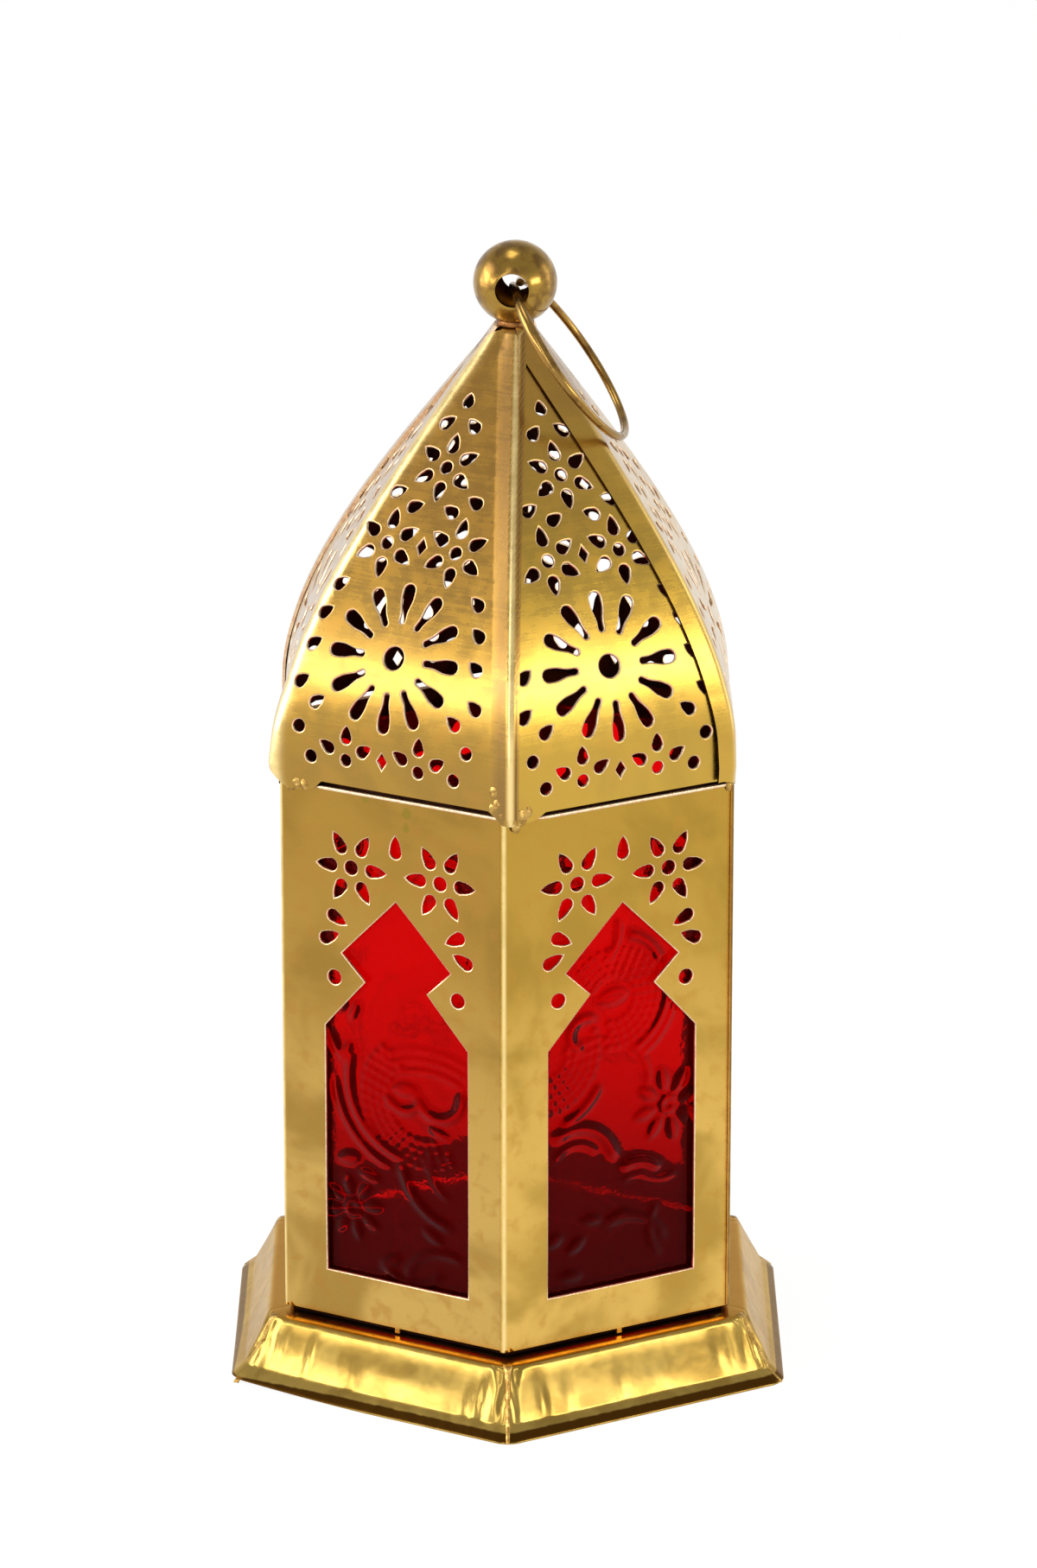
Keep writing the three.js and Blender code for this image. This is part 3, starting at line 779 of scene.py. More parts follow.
class FinishNodes:
    """Wires the nodes of one material, or of the world."""

    def __init__(self, owner: bpy.types.Material | bpy.types.World) -> None:
        """Empties the owner's nodes.

        Args:
            owner: the material or the world.
        """
        owner.use_nodes = True
        self.owner = owner
        self.tree = owner.node_tree
        self.tree.nodes.clear()
        kind = "World" if isinstance(owner, bpy.types.World) else "Material"
        self.output = self.add(f"ShaderNodeOutput{kind}")

    @classmethod
    def for_material(cls, name: str) -> FinishNodes:
        """Starts a new material."""
        return cls(bpy.data.materials.new(name))

    def add(self, kind: str, **settings: object) -> bpy.types.Node:
        """Adds a node.

        Args:
            kind: Blender's name of the node.
            settings: values for its properties.

        Returns:
            The node.
        """
        node = self.tree.nodes.new(kind)
        for name, value in settings.items():
            setattr(node, name, value)
        return node

    def wire(self, source: object, target: bpy.types.NodeSocket) -> None:
        """Links a socket to another, or sets a plain value on it.

        Args:
            source: an output socket, a number or a colour.
            target: the input socket.
        """
        if isinstance(source, bpy.types.NodeSocket):
            self.tree.links.new(source, target)
        elif isinstance(source, tuple) and len(source) == 3 and target.type == "RGBA":
            target.default_value = (*source, 1.0)
        else:
            target.default_value = source

    def place(self, scale: Colour = (1.0, 1.0, 1.0)) -> bpy.types.NodeSocket:
        """Gives the place on the piece in millimetres.

        Args:
            scale: stretches the three directions.

        Returns:
            The vector.
        """
        coordinates = self.add("ShaderNodeTexCoord")
        mapping = self.add("ShaderNodeMapping")
        mapping.inputs["Scale"].default_value = [s / METRE for s in scale]
        self.wire(coordinates.outputs["Object"], mapping.inputs["Vector"])
        return mapping.outputs["Vector"]

    def noise(self, vector: object, scale: float, detail: float = 2.0, distortion: float = 0.0) -> object:
        """Adds a noise.

        Args:
            vector: the place.
            scale: waves in each millimetre.
            detail: how many finer layers it has.
            distortion: how much it swirls.

        Returns:
            A value from 0 to 1.
        """
        node = self.add("ShaderNodeTexNoise")
        node.inputs["Scale"].default_value = scale
        node.inputs["Detail"].default_value = detail
        node.inputs["Distortion"].default_value = distortion
        self.wire(vector, node.inputs["Vector"])
        return node.outputs["Fac"]

    def ramp(self, value: object, low: float, high: float, start: float = 0.0, end: float = 1.0) -> object:
        """Maps a range of a value smoothly onto another.

        Args:
            value: what is mapped.
            low: the value that gives start.
            high: the value that gives end.
            start: the result at low.
            end: the result at high.

        Returns:
            The mapped value.
        """
        node = self.add("ShaderNodeMapRange", interpolation_type="SMOOTHSTEP")
        for name, given in (("From Min", low), ("From Max", high), ("To Min", start), ("To Max", end)):
            node.inputs[name].default_value = given
        self.wire(value, node.inputs["Value"])
        return node.outputs["Result"]

    def blend(self, share: object, first: object, second: object) -> object:
        """Mixes two colours.

        Args:
            share: how much of the second.
            first: a colour.
            second: a colour.

        Returns:
            The mixed colour.
        """
        node = self.add("ShaderNodeMix", data_type="RGBA")
        self.wire(share, node.inputs[0])
        self.wire(first, node.inputs[6])
        self.wire(second, node.inputs[7])
        return node.outputs[2]

    def sum(self, first: object, second: object, operation: str = "ADD") -> object:
        """Works out one value from two.

        Args:
            first: a value.
            second: a value.
            operation: Blender's name of the operation.

        Returns:
            The result.
        """
        node = self.add("ShaderNodeMath", operation=operation)
        self.wire(first, node.inputs[0])
        self.wire(second, node.inputs[1])
        return node.outputs[0]

    def height_above(self) -> object:
        """Gives the height on the piece.

        Returns:
            Millimetres.
        """
        split = self.add("ShaderNodeSeparateXYZ")
        self.wire(self.place(), split.inputs[0])
        return split.outputs["Z"]

    def bump(self, height: object, depth: float, before: object | None = None) -> object:
        """Adds relief to the surface's normal.

        Args:
            height: the relief, from 0 to 1.
            depth: its depth in millimetres.
            before: a normal with coarser relief.

        Returns:
            The normal.
        """
        node = self.add("ShaderNodeBump")
        node.inputs["Distance"].default_value = depth * METRE
        self.wire(height, node.inputs["Height"])
        if before is not None:
            self.wire(before, node.inputs["Normal"])
        return node.outputs["Normal"]

    def surface(self, **sockets: object) -> bpy.types.Node:
        """Ends the material in a Principled shader.

        Args:
            sockets: values or links for its inputs, with spaces written as underscores.

        Returns:
            The shader.
        """
        shader = self.add("ShaderNodeBsdfPrincipled")
        for name, value in sockets.items():
            self.wire(value, shader.inputs[name.replace("_", " ")])
        self.tree.links.new(shader.outputs[0], self.output.inputs["Surface"])
        return shader


@dataclass(frozen=True)
class Stain:
    """A spot of old lacquer on the sheet.

    Attributes:
        place: its middle, in millimetres.
        size: its half width and half height.
    """

    place: tuple[float, float, float]
    size: tuple[float, float]


@dataclass(frozen=True)
class BrassSheetFinish:
    """Thin lacquered brass: satin, faintly streaked along its rolling, and unevenly toned.

    Attributes:
        name: the material's name.
        gold: its main colour.
        worn: colour of the painted highlight along its folds.
        painted_shade: colour of the painted shade along its folds, flanges and grooves.
        dull: how much darker its clouds are.
        rough: roughness of the brightest and the dullest places.
        foot: colour that it takes towards its lower end.
        foot_span: heights over which the foot's colour fades.
        heat: heights between which it turns browner towards the top, or none.
        top_brown: the browner colour that it takes there.
        wander: how far the clouds move these heights up and down.
        stains: spots of old lacquer.
        stained: colour of the stains.
        fleck: colour of its small flecks.
        lacquer: how much clear lacquer lies over it.
        lacquer_rough: the lacquer's roughness.
    """

    name: str
    gold: Colour = (0.62, 0.36, 0.062)
    worn: Colour = (0.98, 0.74, 0.30)
    painted_shade: Colour = (0.16, 0.075, 0.015)
    dull: float = 0.78
    rough: tuple[float, float] = (0.22, 0.32)
    foot: Colour = (0.70, 0.43, 0.10)
    foot_span: tuple[float, float] = (15.0, 60.0)
    heat: tuple[float, float] | None = None
    top_brown: Colour = (0.41, 0.205, 0.018)
    wander: float = 15.0
    stains: tuple[Stain, ...] = ()
    stained: Colour = (0.30, 0.21, 0.03)
    fleck: Colour = (0.15, 0.085, 0.02)
    lacquer: float = 0.0
    lacquer_rough: float = 0.25

    def make(self) -> bpy.types.Material:
        """Builds the material.

        Returns:
            The material.
        """
        nodes = FinishNodes.for_material(self.name)
        spot = nodes.place()
        clouds = nodes.noise(spot, 0.05, 3, 0.6)
        mottle = nodes.noise(spot, 0.30, 4, 0.3)
        streak = nodes.noise(nodes.place((0.05, 0.05, 1.0)), 2.2, 3)
        speck = nodes.noise(spot, 1.3, 3)
        height = nodes.height_above()
        wander = nodes.sum(nodes.sum(clouds, 2 * self.wander, "MULTIPLY"), height)
        above_foot = nodes.ramp(wander, *(edge + self.wander for edge in self.foot_span))
        base = nodes.blend(above_foot, self.foot, self.gold)
        dull = tuple(c * self.dull for c in self.gold)
        colour = nodes.blend(nodes.ramp(clouds, 0.42, 0.66, 0, 0.75), base, dull)
        warm = (self.gold[0] * 1.02, self.gold[1] * 0.90, self.gold[2] * 0.95)
        colour = nodes.blend(nodes.ramp(mottle, 0.50, 0.72, 0, 0.5), colour, warm)
        # Browner towards the top between these heights, wandering with the clouds.
        if self.heat:
            top_brown = nodes.ramp(wander, *(edge + self.wander for edge in self.heat), 0, 0.92)
            colour = nodes.blend(top_brown, colour, self.top_brown)
        for stain in self.stains:
            colour = nodes.blend(self._cover(nodes, stain, speck), colour, self.stained)
        # Painted highlight and painted shade from the painted_light attribute, their strength varied slightly
        # by the mottle.
        painted_light = nodes.add("ShaderNodeAttribute", attribute_name=PAINTED_LIGHT).outputs["Fac"]
        patchy = nodes.ramp(mottle, 0.35, 0.6, 0.75, 1.0)
        colour = nodes.blend(nodes.sum(nodes.ramp(painted_light, 0, 1), patchy, "MULTIPLY"), colour, self.worn)
        colour = nodes.blend(nodes.sum(nodes.ramp(painted_light, -1, 0, 1, 0), patchy, "MULTIPLY"), colour, self.painted_shade)
        flecks = nodes.ramp(speck, 0.76, 0.84, 0, 0.2)
        colour = nodes.blend(flecks, colour, self.fleck)
        rough = nodes.ramp(mottle, 0.3, 0.72, self.rough[0], self.rough[1])
        rough = nodes.sum(rough, nodes.ramp(streak, 0.35, 0.65, -0.02, 0.03))
        relief = nodes.bump(streak, 0.004)
        relief = nodes.bump(nodes.noise(spot, 3.2, 3), 0.006, relief)
        nodes.surface(
            Base_Color=colour,
            Metallic=1.0,
            Roughness=rough,
            Coat_Weight=self.lacquer,
            Coat_Roughness=self.lacquer_rough,
            Normal=relief,
        )
        return nodes.owner

    def _cover(self, nodes: FinishNodes, stain: Stain, speck: object) -> object:
        """Gives how much a stain covers.

        Args:
            nodes: the material's nodes.
            stain: the stain.
            speck: the noise that frays its edge.

        Returns:
            A value from 0 to 1.
        """
        width, tall = stain.size
        offset = nodes.add("ShaderNodeVectorMath", operation="SUBTRACT")
        nodes.wire(nodes.place(), offset.inputs[0])
        offset.inputs[1].default_value = stain.place
        shrink = nodes.add("ShaderNodeVectorMath", operation="MULTIPLY")
        nodes.wire(offset.outputs[0], shrink.inputs[0])
        shrink.inputs[1].default_value = (1 / width, 1 / width, 1 / tall)
        far = nodes.add("ShaderNodeVectorMath", operation="LENGTH")
        nodes.wire(shrink.outputs[0], far.inputs[0])
        frayed = nodes.sum(far.outputs["Value"], nodes.sum(speck, 0.9, "MULTIPLY"))
        return nodes.ramp(frayed, 1.15, 1.55, 0.75, 0)


@dataclass(frozen=True)
class PlainMetalFinish:
    """Metal with one colour, mottled by another.

    Attributes:
        name: the material's name.
        main: its colour.
        mottle: colour of its patches.
        rough: roughness of the main colour and of the patches.
        grain: patches in each millimetre.
        spread: how much the patches cover, from 0 to 1.
        relief: depth of its unevenness in millimetres.
    """

    name: str
    main: Colour
    mottle: Colour
    rough: tuple[float, float]
    grain: float = 0.35
    spread: float = 0.5
    relief: float = 0.02

    def make(self) -> bpy.types.Material:
        """Builds the material.

        Returns:
            The material.
        """
        nodes = FinishNodes.for_material(self.name)
        spot = nodes.place()
        patches = nodes.noise(spot, self.grain, 4, 0.4)
        middle = 0.72 - 0.4 * self.spread
        share = nodes.ramp(patches, middle - 0.1, middle + 0.1)
        colour = nodes.blend(share, self.main, self.mottle)
        rough = nodes.ramp(patches, middle - 0.15, middle + 0.15, self.rough[0], self.rough[1])
        relief = nodes.bump(nodes.noise(spot, self.grain * 5, 3), self.relief)
        nodes.surface(Base_Color=colour, Metallic=1.0, Roughness=rough, Normal=relief)
        return nodes.owner


@dataclass(frozen=True)
class BaseFinish:
    """Bright pressed brass, with an amber painted reflection of the dark gap under the body on its top and
    brown painted shade on its lip, and gold left on their edges.

    Attributes:
        name: the material's name.
        gold: colour of the flank.
        shade: colour of its duller clouds.
        painted_lip_shade: colour of the painted shade on the lip.
        painted_top_reflection: amber colour of the painted reflection of the dark gap on the top.
        edge: colour of reflections that only graze it.
        lip: heights between which the lip takes the painted shade.
        shoulder: height where the top begins.
    """

    name: str
    gold: Colour = (0.47, 0.31, 0.073)
    shade: Colour = (0.36, 0.225, 0.048)
    painted_lip_shade: Colour = (0.085, 0.034, 0.004)
    painted_top_reflection: Colour = (0.50, 0.24, 0.03)
    edge: Colour = (1.0, 0.86, 0.68)
    lip: tuple[float, float] = (0.25, 1.5)
    shoulder: float = 11.2

    def make(self) -> bpy.types.Material:
        """Builds the material.

        Returns:
            The material.
        """
        nodes = FinishNodes.for_material(self.name)
        spot = nodes.place()
        clouds = nodes.noise(spot, 0.10, 3, 0.8)
        mottle = nodes.noise(spot, 0.6, 4, 0.4)
        height = nodes.height_above()
        colour = nodes.blend(nodes.ramp(clouds, 0.40, 0.62), self.gold, self.shade)
        wander = nodes.sum(height, nodes.sum(mottle, 0.3, "MULTIPLY"))
        # Painted shade in brown on the lip, stopping short of its lowest edge.
        lip = nodes.ramp(wander, self.lip[1] + 0.1, self.lip[1] + 0.35, 1, 0)
        edge = nodes.ramp(height, self.lip[0], self.lip[0] + 0.2)
        colour = nodes.blend(nodes.sum(lip, edge, "MULTIPLY"), colour, self.painted_lip_shade)
        # Painted reflection in amber on the top, from just above the shoulder.
        top = nodes.ramp(wander, self.shoulder + 0.15, self.shoulder + 0.3, 0, 0.85)
        colour = nodes.blend(top, colour, self.painted_top_reflection)
        rough = nodes.ramp(mottle, 0.3, 0.7, 0.21, 0.27)
        relief = nodes.bump(nodes.noise(spot, 0.9, 2), 0.006)
        nodes.surface(
            Base_Color=colour,
            Metallic=1.0,
            Roughness=rough,
            Specular_Tint=self.edge,
            Normal=relief,
        )
        return nodes.owner


@dataclass(frozen=True)
class PressedGlassFinish:
    """Red glass, coloured right through. Shadow and diffuse rays pass it without bending.

    Attributes:
        name: the material's name.
        colour: what one pane lets through.
        shaded: the same where its relief is steep, as painted shade.
        foot: the same at its lower end, where painted shade darkens it.
        foot_span: heights over which the painted shade fades out upwards.
        rough: roughness of its faces.
        bending: its index of refraction.
        clearness: share of the light that it lets through rather than scatters.
    """

    name: str
    colour: Colour = (0.80, 0.002, 0.003)
    shaded: Colour = (0.20, 0.0, 0.001)
    foot: Colour = (0.42, 0.0, 0.001)
    foot_span: tuple[float, float] = (14.0, 60.0)
    rough: float = 0.05
    bending: float = 1.34
    clearness: float = 0.96

    def make(self) -> bpy.types.Material:
        """Builds the material.

        Returns:
            The material.
        """
        nodes = FinishNodes.for_material(self.name)
        ripple = nodes.noise(nodes.place(), 0.5, 3, 0.5)
        normal = nodes.bump(ripple, 0.04)
        # Painted shade along the relief's steep slopes, read from the painted_light attribute.
        steep = nodes.ramp(nodes.add("ShaderNodeAttribute", attribute_name=PAINTED_LIGHT).outputs["Fac"], -1, 0, 1, 0)
        # Painted shade: the glass darkens towards its lower end.
        painted_low_shade = nodes.ramp(nodes.height_above(), *self.foot_span, 1, 0)
        colour = nodes.blend(steep, nodes.blend(painted_low_shade, self.colour, self.foot), self.shaded)
        shader = nodes.surface(
            Base_Color=colour,
            Roughness=self.rough,
            IOR=self.bending,
            Transmission_Weight=self.clearness,
            Specular_IOR_Level=0.02,
            Specular_Tint=(1.0, 0.02, 0.02),
            Normal=normal,
        )
        clear = nodes.add("ShaderNodeBsdfTransparent")
        clear.inputs["Color"].default_value = (*(math.sqrt(c) for c in self.colour), 1.0)
        path = nodes.add("ShaderNodeLightPath")
        passes = nodes.sum(path.outputs["Is Shadow Ray"], path.outputs["Is Diffuse Ray"], "MAXIMUM")
        mix = nodes.add("ShaderNodeMixShader")
        nodes.wire(passes, mix.inputs[0])
        nodes.wire(shader.outputs[0], mix.inputs[1])
        nodes.wire(clear.outputs[0], mix.inputs[2])
        nodes.wire(mix.outputs[0], nodes.output.inputs["Surface"])
        return nodes.owner


def make_finishes() -> Materials:
    """Builds every finish of the lantern.

    Returns:
        The materials by short name.
    """
    drips = (
        Stain((-24.6, -30.8, 110.2), (0.9, 1.0)),
        Stain((-17.5, -34.9, 108.6), (1.0, 1.1)),
        Stain((-17.6, -34.8, 106.0), (0.7, 1.0)),
    )
    dome_drips = (
        Stain((-26.0, -28.0, 133.5), (0.9, 4.2)),
        Stain((-24.2, -29.4, 138.0), (1.2, 1.4)),
        Stain((-22.4, -30.5, 132.0), (1.0, 1.6)),
        Stain((-25.0, -31.5, 119.0), (0.8, 2.2)),
    )
    below_petals = (80.0, 90.0)
    finishes: list[BrassSheetFinish | BaseFinish | PlainMetalFinish | PressedGlassFinish] = [
        # Lit and shaded copies of one brass: the left sides' copies are painted darker as shade and the right
        # sides' lighter as light.
        BrassSheetFinish(
            "panel_left_front",
            (0.43, 0.245, 0.046),
            foot=(0.62, 0.395, 0.105),
            foot_span=(25.0, 100.0),
            stains=drips,
        ),
        BrassSheetFinish(
            "panel_right_front",
            (0.51, 0.305, 0.047),
            foot=(0.755, 0.475, 0.110),
            foot_span=(30.0, 105.0),
        ),
        BrassSheetFinish(
            "petal_left",
            (0.43, 0.236, 0.019),
            foot_span=below_petals,
            heat=(130, 166),
            stains=dome_drips,
            lacquer=0.8,
        ),
        BrassSheetFinish(
            "petal_right",
            (0.59, 0.355, 0.030),
            foot_span=below_petals,
            heat=(146, 190),
            lacquer=0.8,
        ),
        BaseFinish("base_sheet"),
        PlainMetalFinish("cut_edge", (0.95, 0.72, 0.46), (0.85, 0.56, 0.36), (0.35, 0.45), 1.2),
        # The inside finish is near-black painted shade: inner faces, hidden tabs, the strip in the slit and
        # most petal edges take it so holes, slits and fold edges look dark.
        PlainMetalFinish("inside", (0.065, 0.022, 0.010), (0.035, 0.012, 0.006), (0.55, 0.66), 0.2),
        # Near-black painted shade for the floor plate, so the inside looks dark through the glass.
        PlainMetalFinish("painted_floor_shade", (0.020, 0.008, 0.005), (0.012, 0.005, 0.003), (0.6, 0.7), 0.2),
        PlainMetalFinish("antique", (0.38, 0.225, 0.045), (0.22, 0.12, 0.03), (0.18, 0.3), 0.35, 0.45, 0.012),
        PlainMetalFinish("wire", (0.33, 0.19, 0.048), (0.20, 0.11, 0.03), (0.20, 0.30), 0.4, 0.35, 0.008),
        # Dark red-brown painted shadow for the solder under the ball.
        PlainMetalFinish("painted_neck_shadow", (0.30, 0.13, 0.035), (0.15, 0.06, 0.02), (0.3, 0.42), 0.9, 0.5, 0.04),
        PlainMetalFinish("solder", (0.58, 0.36, 0.10), (0.34, 0.19, 0.045), (0.24, 0.38), 0.9, 0.5, 0.08),
        PlainMetalFinish("hinge_brass", (0.52, 0.31, 0.07), (0.28, 0.16, 0.045), (0.28, 0.42), 0.4, 0.4),
        # Dark painted shade for the tealight cup, which would otherwise show bright through the glass.
        PlainMetalFinish("tin", (0.07, 0.05, 0.035), (0.04, 0.025, 0.018), (0.4, 0.55), 0.3, 0.3),
        PressedGlassFinish("red_glass"),
    ]
    return {finish.name: finish.make() for finish in finishes}


# The lantern's sizes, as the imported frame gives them


@dataclass(frozen=True)
class FrameSizes:
    """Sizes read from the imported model, in millimetres."""

    foot_radius: float
    base_top: float
    body_face: float
    body_bottom: float
    body_top: float
    pane_front: float
    pane_back: float
    pane_half: float
    pane_bottom: float
    pane_top: float
    eave_face: float
    eave: float
    neck: float
    ball: Vector
    ball_radius: float
    ring_centre: Vector

    @classmethod
    def read(cls) -> FrameSizes:
        """Reads the sizes from the frame's nodes.

        Returns:
            The sizes.
        """
        base, panel, door = box_mm("base_moulding"), box_mm("panel_right"), box_mm("door_panel")
        pane, petal = box_mm("glass_right"), box_mm("dome_petal_right")
        ball, ring = box_mm("finial_ball"), box_mm("hanging_ring")
        return cls(
            foot_radius=base[1].y,
            base_top=base[1].z,
            body_face=panel[1].x,
            body_bottom=door[0].z - (panel[1].z - door[1].z),
            body_top=panel[1].z,
            pane_front=pane[1].x,
            pane_back=pane[0].x,
            pane_half=pane[1].y,
            pane_bottom=pane[0].z,
            pane_top=pane[1].z,
            eave_face=petal[1].x,
            eave=petal[0].z,
            neck=petal[1].z,
            ball=(ball[0] + ball[1]) / 2,
            ball_radius=(ball[1].z - ball[0].z) / 2,
            ring_centre=(ring[0] + ring[1]) / 2,
        )

    @property
    def lean(self) -> float:
        """How far the hand-bent top stands to one side."""
        return self.ball.x


def box_mm(node: str) -> tuple[Vector, Vector]:
    """Gives a node's lowest and highest corner in millimetres."""
    low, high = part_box(node)
    return low / METRE, high / METRE


def dress(piece: bpy.types.Object, body: str, slot: str, *nodes: str) -> None:
    """Hangs a finished piece on its body, in the place of the nodes that it stands for.

    Args:
        piece: the Blender object.
        body: the body that carries it.
        slot: not used.
        nodes: the nodes that it replaces.
    """
    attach(piece, body)
    if nodes:
        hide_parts(*nodes)
    log.info("%s: %d faces on %s", piece.name, len(piece.data.polygons), body)


def body_of(side: Side) -> str:
    """Names the body that a side's panel and pane belong to."""
    return "door" if side.is_door else "lantern"


# Sub-assemblies


@dataclass
class Subassembly:
    """What every sub-assembly holds.

    Attributes:
        sizes: the frame's sizes.
        materials: the finishes by name.
    """

    sizes: FrameSizes
    materials: Materials

    def hang(
        self,
        builder: MeshBuilder,
        name: str,
        finishes: Sequence[str],
        place: tuple[str, str, str],
        turn: float = 0.0,
        sharp: float = 35.0,
    ) -> None:
        """Builds a piece and hangs it on its body.

        Args:
            builder: the piece's mesh.
            name: the piece's name.
            finishes: names of its finishes, in the order of their numbers.
            place: its body, its slot and the node that it stands for, or no name there.
            turn: radians about the vertical axis to its place.
            sharp: degrees past which an edge is left sharp.
        """
        body, slot, node = place
        piece = builder.build(name, [self.materials[finish] for finish in finishes], turn, sharp)
        dress(piece, body, slot, *([node] if node else []))


@dataclass(frozen=True)
class Stamping:
    """How a stamped pattern lies on its blank.

    Attributes:
        across: how far it is off the middle.
        drift: how much further off for each millimetre up.
        up: how far it is moved up.
        stretch: its width over the plan width.
    """

    across: float = 0.0
    drift: float = 0.0
    up: float = 0.0
    stretch: float = 1.0

    def place(self, hole: Array) -> Array:
        """Moves a hole from the plan to the blank."""
        aside = self.across + self.drift * hole[:, 1].mean()
        return hole * np.array([self.stretch, 1]) + np.array([aside, self.up])


@dataclass
class BodyPanels(Subassembly):
    """The six pierced panels of the body: four fold over their left neighbour, one folds behind it and the
    door's left edge is plain.

    Attributes:
        sheet: thickness of the brass.
        lap_gap: gap between two lapped sheets.
        lap_width: width of the flange that laps the neighbour.
        laps: the same on the sides where it is narrower.
        bend: outer radius of a fold.
        behind_width: width of a flange that goes behind the neighbour.
        widening: how much the right half spreads, as a share of the distance from the middle.
        calm_width: width beside a corner where the sheet's waves die out.
        roll: radius of the roll along the top edge.
        roll_taper: length over which the roll thins out at its ends.
        roll_steps: sections along the roll and points round it.
        hems: for some sides, how far the top edge is raised, and its left and right end.
        plain_hem: the same for the others.
        stamping: how the pattern lies on the front right panel.
        tab_half: half the width of the tab at the foot.
        tab_drop: how far the tab goes down.
        door_edge: gap on both sides of the door.
        door_gap: gap over and under the door.
        apex_drop: from the top edge down to the window's point.
        shoulder: distance across and drop of the corner under the point.
        notch: distance across and drop of the corner that juts into the window.
        jamb: distance across and drop of the upper end of the window's straight side.
        sill_rise: from the panel's lower edge to the window.
        blossom: the blossom in each upper corner.
        blossom_aside: from the middle line to its centre.
        blossom_drop: from the top edge to its centre.
        lattice_left: distance across where the points on the plain metal start.
        lattice_step: distance between them.
        fold_step: distance between the points along a fold.
    """

    sheet: float = 0.5
    lap_gap: float = 0.12
    lap_width: float = 1.5
    laps: tuple[tuple[Side, float], ...] = ((Side.FRONT_RIGHT, 0.5), (Side.RIGHT, 0.08))
    bend: float = 0.55
    behind_width: float = 2.2
    widening: float = 0.012
    calm_width: float = 8.0
    roll: float = 0.36
    roll_taper: float = 1.2
    roll_steps: tuple[int, int] = (40, 12)
    hems: tuple[tuple[Side, tuple[float, float, float]], ...] = (
        (Side.FRONT_LEFT, (0.65, -16.2, 21.6)),
        (Side.FRONT_RIGHT, (0.1, -16.8, 22.2)),
    )
    plain_hem: tuple[float, float, float] = (0.1, -19.0, 19.0)
    stamping: Stamping = Stamping(across=0.35, stretch=1.02)
    tab_half: float = 0.45
    tab_drop: float = 0.9
    door_edge: float = 0.15
    door_gap: float = 0.6
    apex_drop: float = 18.0
    shoulder: tuple[float, float] = (11.0, 29.1)
    notch: tuple[float, float] = (6.2, 33.7)
    jamb: tuple[float, float] = (14.4, 42.9)
    sill_rise: float = 8.4
    blossom: Blossom = Blossom(reach=4.0, radius=1.15, point=2.95, dot=1.3, first=0.0)
    blossom_aside: float = 8.9
    blossom_drop: float = 13.1
    lattice_left: float = -21.0
    lattice_step: float = 3.0
    fold_step: float = 0.5

    def fold(self, side: Side) -> Fold:
        """Tells how a panel's left edge ends."""
        return {Side.REAR_LEFT: Fold.PLAIN, Side.LEFT: Fold.BEHIND}.get(side, Fold.OVER)

    def surface(self, side: Side) -> Surface:
        """Describes a panel's outside.

        Args:
            side: the panel's side.

        Returns:
            The surface, over distance across and height.
        """
        face = self.sizes.body_face
        step = self.sheet + self.lap_gap
        flange = {Fold.OVER: face + step, Fold.BEHIND: face - step, Fold.PLAIN: face}[self.fold(side)]
        waves = Waviness(seed=11 + side.value, height=0.07, length=34)
        half = face * TAN_HALF
        unfolded = face + 9

        def place(uv: Array) -> Array:
            """Lays flat coordinates on the panel.

            Args:
                uv: rows of flat coordinates.

            Returns:
                Rows of x, y and z in the face frame.
            """
            u, v = uv.T
            plan = folded_section(u, np.full(len(u), face), (flange, unfolded), (self.bend, self.bend))
            calm = np.clip((half - np.abs(u)) / self.calm_width, 0, 1) ** 2
            plan[:, 1] -= waves(uv) * calm * calm
            x = plan[:, 0] * math.cos(side.turn) - plan[:, 1] * math.sin(side.turn)
            wider = self.widening * np.maximum(x, 0)
            plan[:, 0] += wider * math.cos(side.turn)
            plan[:, 1] -= wider * math.sin(side.turn)
            return np.column_stack([plan, v])

        return place

    def painted_light(self, side: Side) -> Callable[[Array], Array]:
        """Describes the painted highlight along a panel's bend and the painted shade on the flange past it.

        Args:
            side: the panel's side.

        Returns:
            The painted highlight and shade, over distance across and height.
        """
        bends = self.columns(side)[2]

        def painted_highlight_and_shade(uv: Array) -> Array:
            """Gives the painted highlight and shade at flat coordinates.

            Args:
                uv: rows of flat coordinates.

            Returns:
                A value for each row, above nought for painted highlight and below for painted shade.
            """
            if not bends or self.fold(side) is not Fold.OVER:
                return np.zeros(len(uv))
            # Painted shade over the whole fold and flange of the right panel.
            if side is Side.RIGHT:
                return -0.7 * (uv[:, 0] < bends[0] + 0.3)
            # Painted highlight along the middle of the bend, painted shade on the flange past it.
            bright = np.exp(-(((uv[:, 0] - np.mean(bends)) / 0.38) ** 2))
            return bright - 0.8 * (uv[:, 0] < bends[-1] - 0.25)

        return painted_highlight_and_shade

    def hem(self, side: Side) -> tuple[float, float, float]:
        """Gives the rise of a panel's hem, and its left and right end."""
        return dict(self.hems).get(side, self.plain_hem)

    def top(self, side: Side) -> float:
        """Height of a panel's upper edge."""
        return self.sizes.body_top + (-self.door_gap if side.is_door else self.hem(side)[0])

    def bottom(self, side: Side) -> float:
        """Height of a panel's lower edge."""
        return self.sizes.body_bottom + (self.door_gap if side.is_door else 0)

